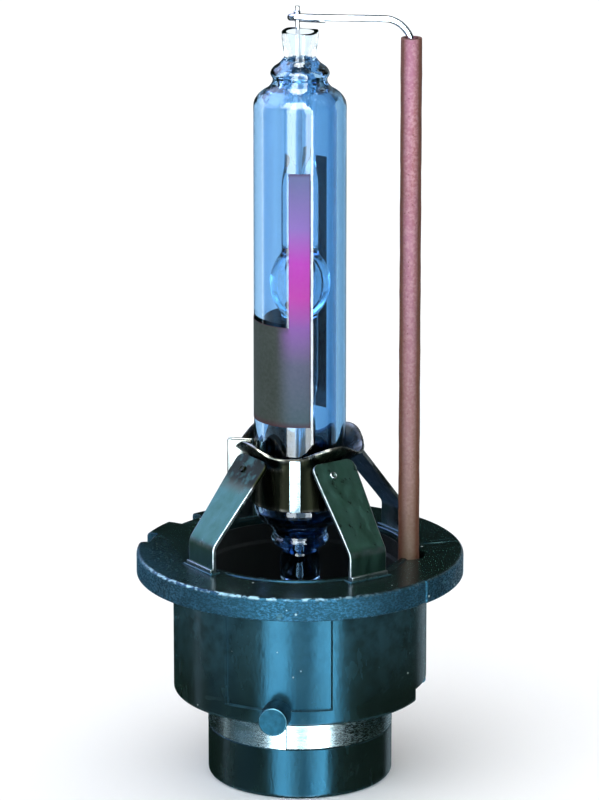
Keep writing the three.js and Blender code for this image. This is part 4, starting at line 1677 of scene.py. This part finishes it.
class BULB_OT_sleeve(BulbPiece, bpy.types.Operator):
    """Add the ceramic sleeve on the return wire"""

    bl_idname = "bulb.sleeve"
    bl_label = "Ceramic sleeve"

    bore = 0.68

    def build(self, s, context):
        count = 46
        outer = [(s.sleeve_radius, z) for z in np.linspace(s.sleeve_low, s.sleeve_high, count)[1:-1]]
        outline = rounded([
            (self.bore, s.sleeve_low, 0.06), (s.sleeve_radius, s.sleeve_low, 0.1), *outer,
            (s.sleeve_radius, s.sleeve_high, 0.1), (self.bore, s.sleeve_high, 0.06),
        ])

        def uneven(a, r, z):
            wander = 0.012 * np.sin(z * 0.9 + 2 * np.radians(a)) + 0.008 * np.sin(z * 2.3 + 1.2)
            return r + wander * (r > s.sleeve_radius - 0.05) - 0.02 * (r > s.sleeve_radius - 0.05), z

        mesh = moved(turned("sleeve", outline, angle_lines(56), uneven), shift=(s.sleeve_offset, 0, 0))
        finish_mesh(mesh)
        add_piece(
            "ceramic", mesh, terracotta, SLEEVE, stands_for=["ceramic_sleeve"]
        )


# ---------------------------------------------------------------- operator: the studio

def softbox(name, place, target, size, power, tint=(1, 1, 1)):
    light = bpy.data.lights.new(name, "AREA")
    light.shape = "RECTANGLE"
    light.size, light.size_y = size
    light.energy = power
    light.color = tint
    light.specular_factor = 0.1
    lamp = bpy.data.objects.new(name, light)
    bpy.context.scene.collection.objects.link(lamp)
    lamp.location = place
    lamp.rotation_mode = "QUATERNION"
    lamp.rotation_quaternion = (Vector(target) - Vector(place)).to_track_quat("-Z", "Y")
    return lamp


class BULB_OT_stage(bpy.types.Operator):
    """Add the pale floor, the soft studio light and the camera"""

    bl_idname = "bulb.stage"
    bl_label = "Studio"

    # Light panels that the gloss sees. Degrees: bearing from +X, half width, height above the horizon, half
    # height, softness. Then strength and tint.
    panels = (
        (-101, 11, 0, 75, 6, 15.0, (0.86, 0.95, 1.0)),
        (-58, 7.5, 0, 75, 6, 12.0, (0.86, 0.95, 1.0)),
        (-49, 2.4, 0, 75, 2, 24.0, (0.92, 0.98, 1.0)),
        (-80, 16, 0, 60, 14, 3.0, (0.6, 0.85, 1.0)),
        (-152, 20, 0, 60, 16, 0.35, (0.5, 0.8, 1.0)),
        (174, 2, 0, 70, 2, 2.0, (0.86, 0.95, 1.0)),
        (168, 42, 42, 22, 16, 6.0, (0.48, 0.6, 1.0)),
        (-95, 42, 62, 20, 16, 15.0, (0.95, 0.98, 1.0)),
        (72, 12, 20, 60, 14, 0.5, (0.7, 0.88, 1.0)),
    )

    # The even light: strongest overhead, warmer and weaker on the bulb's right and back.
    lit_side = (1.5, 1.55, 1.65)
    shade_side = (0.34, 0.32, 0.29)
    top_side = (1.6, 1.62, 1.64)

    def execute(self, context):
        scene = context.scene
        studio = scene.bulb_studio
        floor = bpy.data.meshes.new("floor")
        half = 4.0
        floor.from_pydata(
            [(-half, -half, 0), (half, -half, 0), (half, half, 0), (-half, half, 0)], [], [(0, 1, 2, 3)]
        )
        floor.materials.append(material_once(studio_floor))
        ground = bpy.data.objects.new("floor", floor)
        scene.collection.objects.link(ground)
        ground.visible_glossy = False

        middle = Vector((0, 0, studio.target_height))
        softbox("key softbox", (-0.25, -0.45, 0.75), middle, (0.6, 0.5), studio.key_power)
        softbox("fill softbox", (0.55, 0.25, 0.6), middle, (0.5, 0.5), studio.fill_power)
        self.world(scene, studio)
        self.camera(scene, studio, middle)
        scene.view_settings.view_transform = "Standard"
        return {"FINISHED"}

    def world(self, scene, studio):
        """Even white light for what is dull, and upright light panels round the bulb for what is glossy."""
        world = bpy.data.worlds.new("studio")
        scene.world = world
        world.cycles.sampling_method = "NONE"
        world.use_nodes = True
        tree = world.node_tree
        tree.nodes.clear()
        way = put(tree, "ShaderNodeTexCoord").outputs["Generated"]
        axes = put(tree, "ShaderNodeSeparateXYZ", {"Vector": way}).outputs
        bearing = maths(tree, "ARCTAN2", axes["Y"], axes["X"])
        height = maths(tree, "ARCSINE", axes["Z"])
        light = (0.005, 0.014, 0.01)
        for centre, half, raised, half_height, soft, strength, tint in self.panels:
            across = effect(
                tree, window_group, direction=bearing, centre=math.radians(centre),
                half_width=math.radians(half), softness=math.radians(soft),
            )["Inside"]
            upward = effect(
                tree, window_group, direction=height, centre=math.radians(raised),
                half_width=math.radians(half_height), softness=math.radians(soft),
            )["Inside"]
            glow = colour_mix(
                tree, times(tree, across, upward), (0, 0, 0), tuple(strength * c for c in tint)
            )
            light = colour_mix(tree, 1.0, light, glow, "ADD")
        rays = put(tree, "ShaderNodeLightPath")
        seen_even = maths(tree, "MAXIMUM", rays.outputs["Is Diffuse Ray"], rays.outputs["Is Camera Ray"])
        facing = effect(
            tree, window_group, direction=bearing, centre=math.radians(-105), half_width=math.radians(55),
            softness=math.radians(90),
        )["Inside"]
        overhead = effect(
            tree, window_group, direction=height, centre=math.pi / 2, half_width=math.radians(42),
            softness=math.radians(30),
        )["Inside"]
        around = colour_mix(tree, facing, self.shade_side, self.lit_side)
        rays_even = colour_mix(tree, overhead, around, self.top_side)
        soft = colour_mix(tree, rays.outputs["Is Camera Ray"], rays_even, (0.97, 0.985, 1.0))
        even = colour_mix(tree, 1.0, soft, (studio.ambient,) * 3, "MULTIPLY")
        lit = colour_mix(tree, seen_even, light, even)
        background = put(tree, "ShaderNodeBackground", {"Color": lit, "Strength": 1.0})
        put(tree, "ShaderNodeOutputWorld", {"Surface": background.outputs["Background"]})

    def camera(self, scene, studio, middle):
        lens = bpy.data.cameras.new("camera")
        lens.lens = studio.lens
        lens.clip_start, lens.clip_end = 0.01, 20
        camera = bpy.data.objects.new("camera", lens)
        scene.collection.objects.link(camera)
        a, e = studio.azimuth, studio.elevation
        back = Vector((math.sin(a) * math.cos(e), -math.cos(a) * math.cos(e), math.sin(e)))
        camera.location = middle + back * studio.distance
        camera.rotation_mode = "QUATERNION"
        camera.rotation_quaternion = (-back).to_track_quat("-Z", "Y")
        scene.camera = camera


# ---------------------------------------------------------------- panel and registration

PIECE_OPERATORS = (
    BULB_OT_housing,
    BULB_OT_flange,
    BULB_OT_plug,
    BULB_OT_contacts,
    BULB_OT_lugs,
    BULB_OT_jacket,
    BULB_OT_burner,
    BULB_OT_inner_metal,
    BULB_OT_shield,
    BULB_OT_clamp,
    BULB_OT_legs,
    BULB_OT_conductor,
    BULB_OT_sleeve,
    BULB_OT_stage,
)


class BULB_PT_builder(bpy.types.Panel):
    """The bulb's operators, sizes and colours"""

    bl_idname = "BULB_PT_builder"
    bl_label = "Headlight bulb"
    bl_space_type = "VIEW_3D"
    bl_region_type = "UI"
    bl_category = "Bulb"

    def draw(self, context):
        column = self.layout.column(align=True)
        for operator in PIECE_OPERATORS:
            column.operator(operator.bl_idname)
        for group in ("bulb_sizes", "bulb_colours", "bulb_studio"):
            box = self.layout.box()
            settings = getattr(context.scene, group)
            for name in type(settings).__annotations__:
                box.prop(settings, name)


CLASSES = (BulbSizes, BulbColours, StudioSettings, *PIECE_OPERATORS, BULB_PT_builder)


def register():
    for cls in CLASSES:
        bpy.utils.register_class(cls)
    bpy.types.Scene.bulb_sizes = PointerProperty(type=BulbSizes)
    bpy.types.Scene.bulb_colours = PointerProperty(type=BulbColours)
    bpy.types.Scene.bulb_studio = PointerProperty(type=StudioSettings)


def unregister():
    del bpy.types.Scene.bulb_studio
    del bpy.types.Scene.bulb_colours
    del bpy.types.Scene.bulb_sizes
    for cls in reversed(CLASSES):
        bpy.utils.unregister_class(cls)


def main():
    """Registers the classes, builds every piece and the studio, and notes the two boxes' sizes."""
    register()
    for operator in PIECE_OPERATORS:
        group, name = operator.bl_idname.split(".")
        getattr(getattr(bpy.ops, group), name)()


if __name__ == "__main__":
    main()
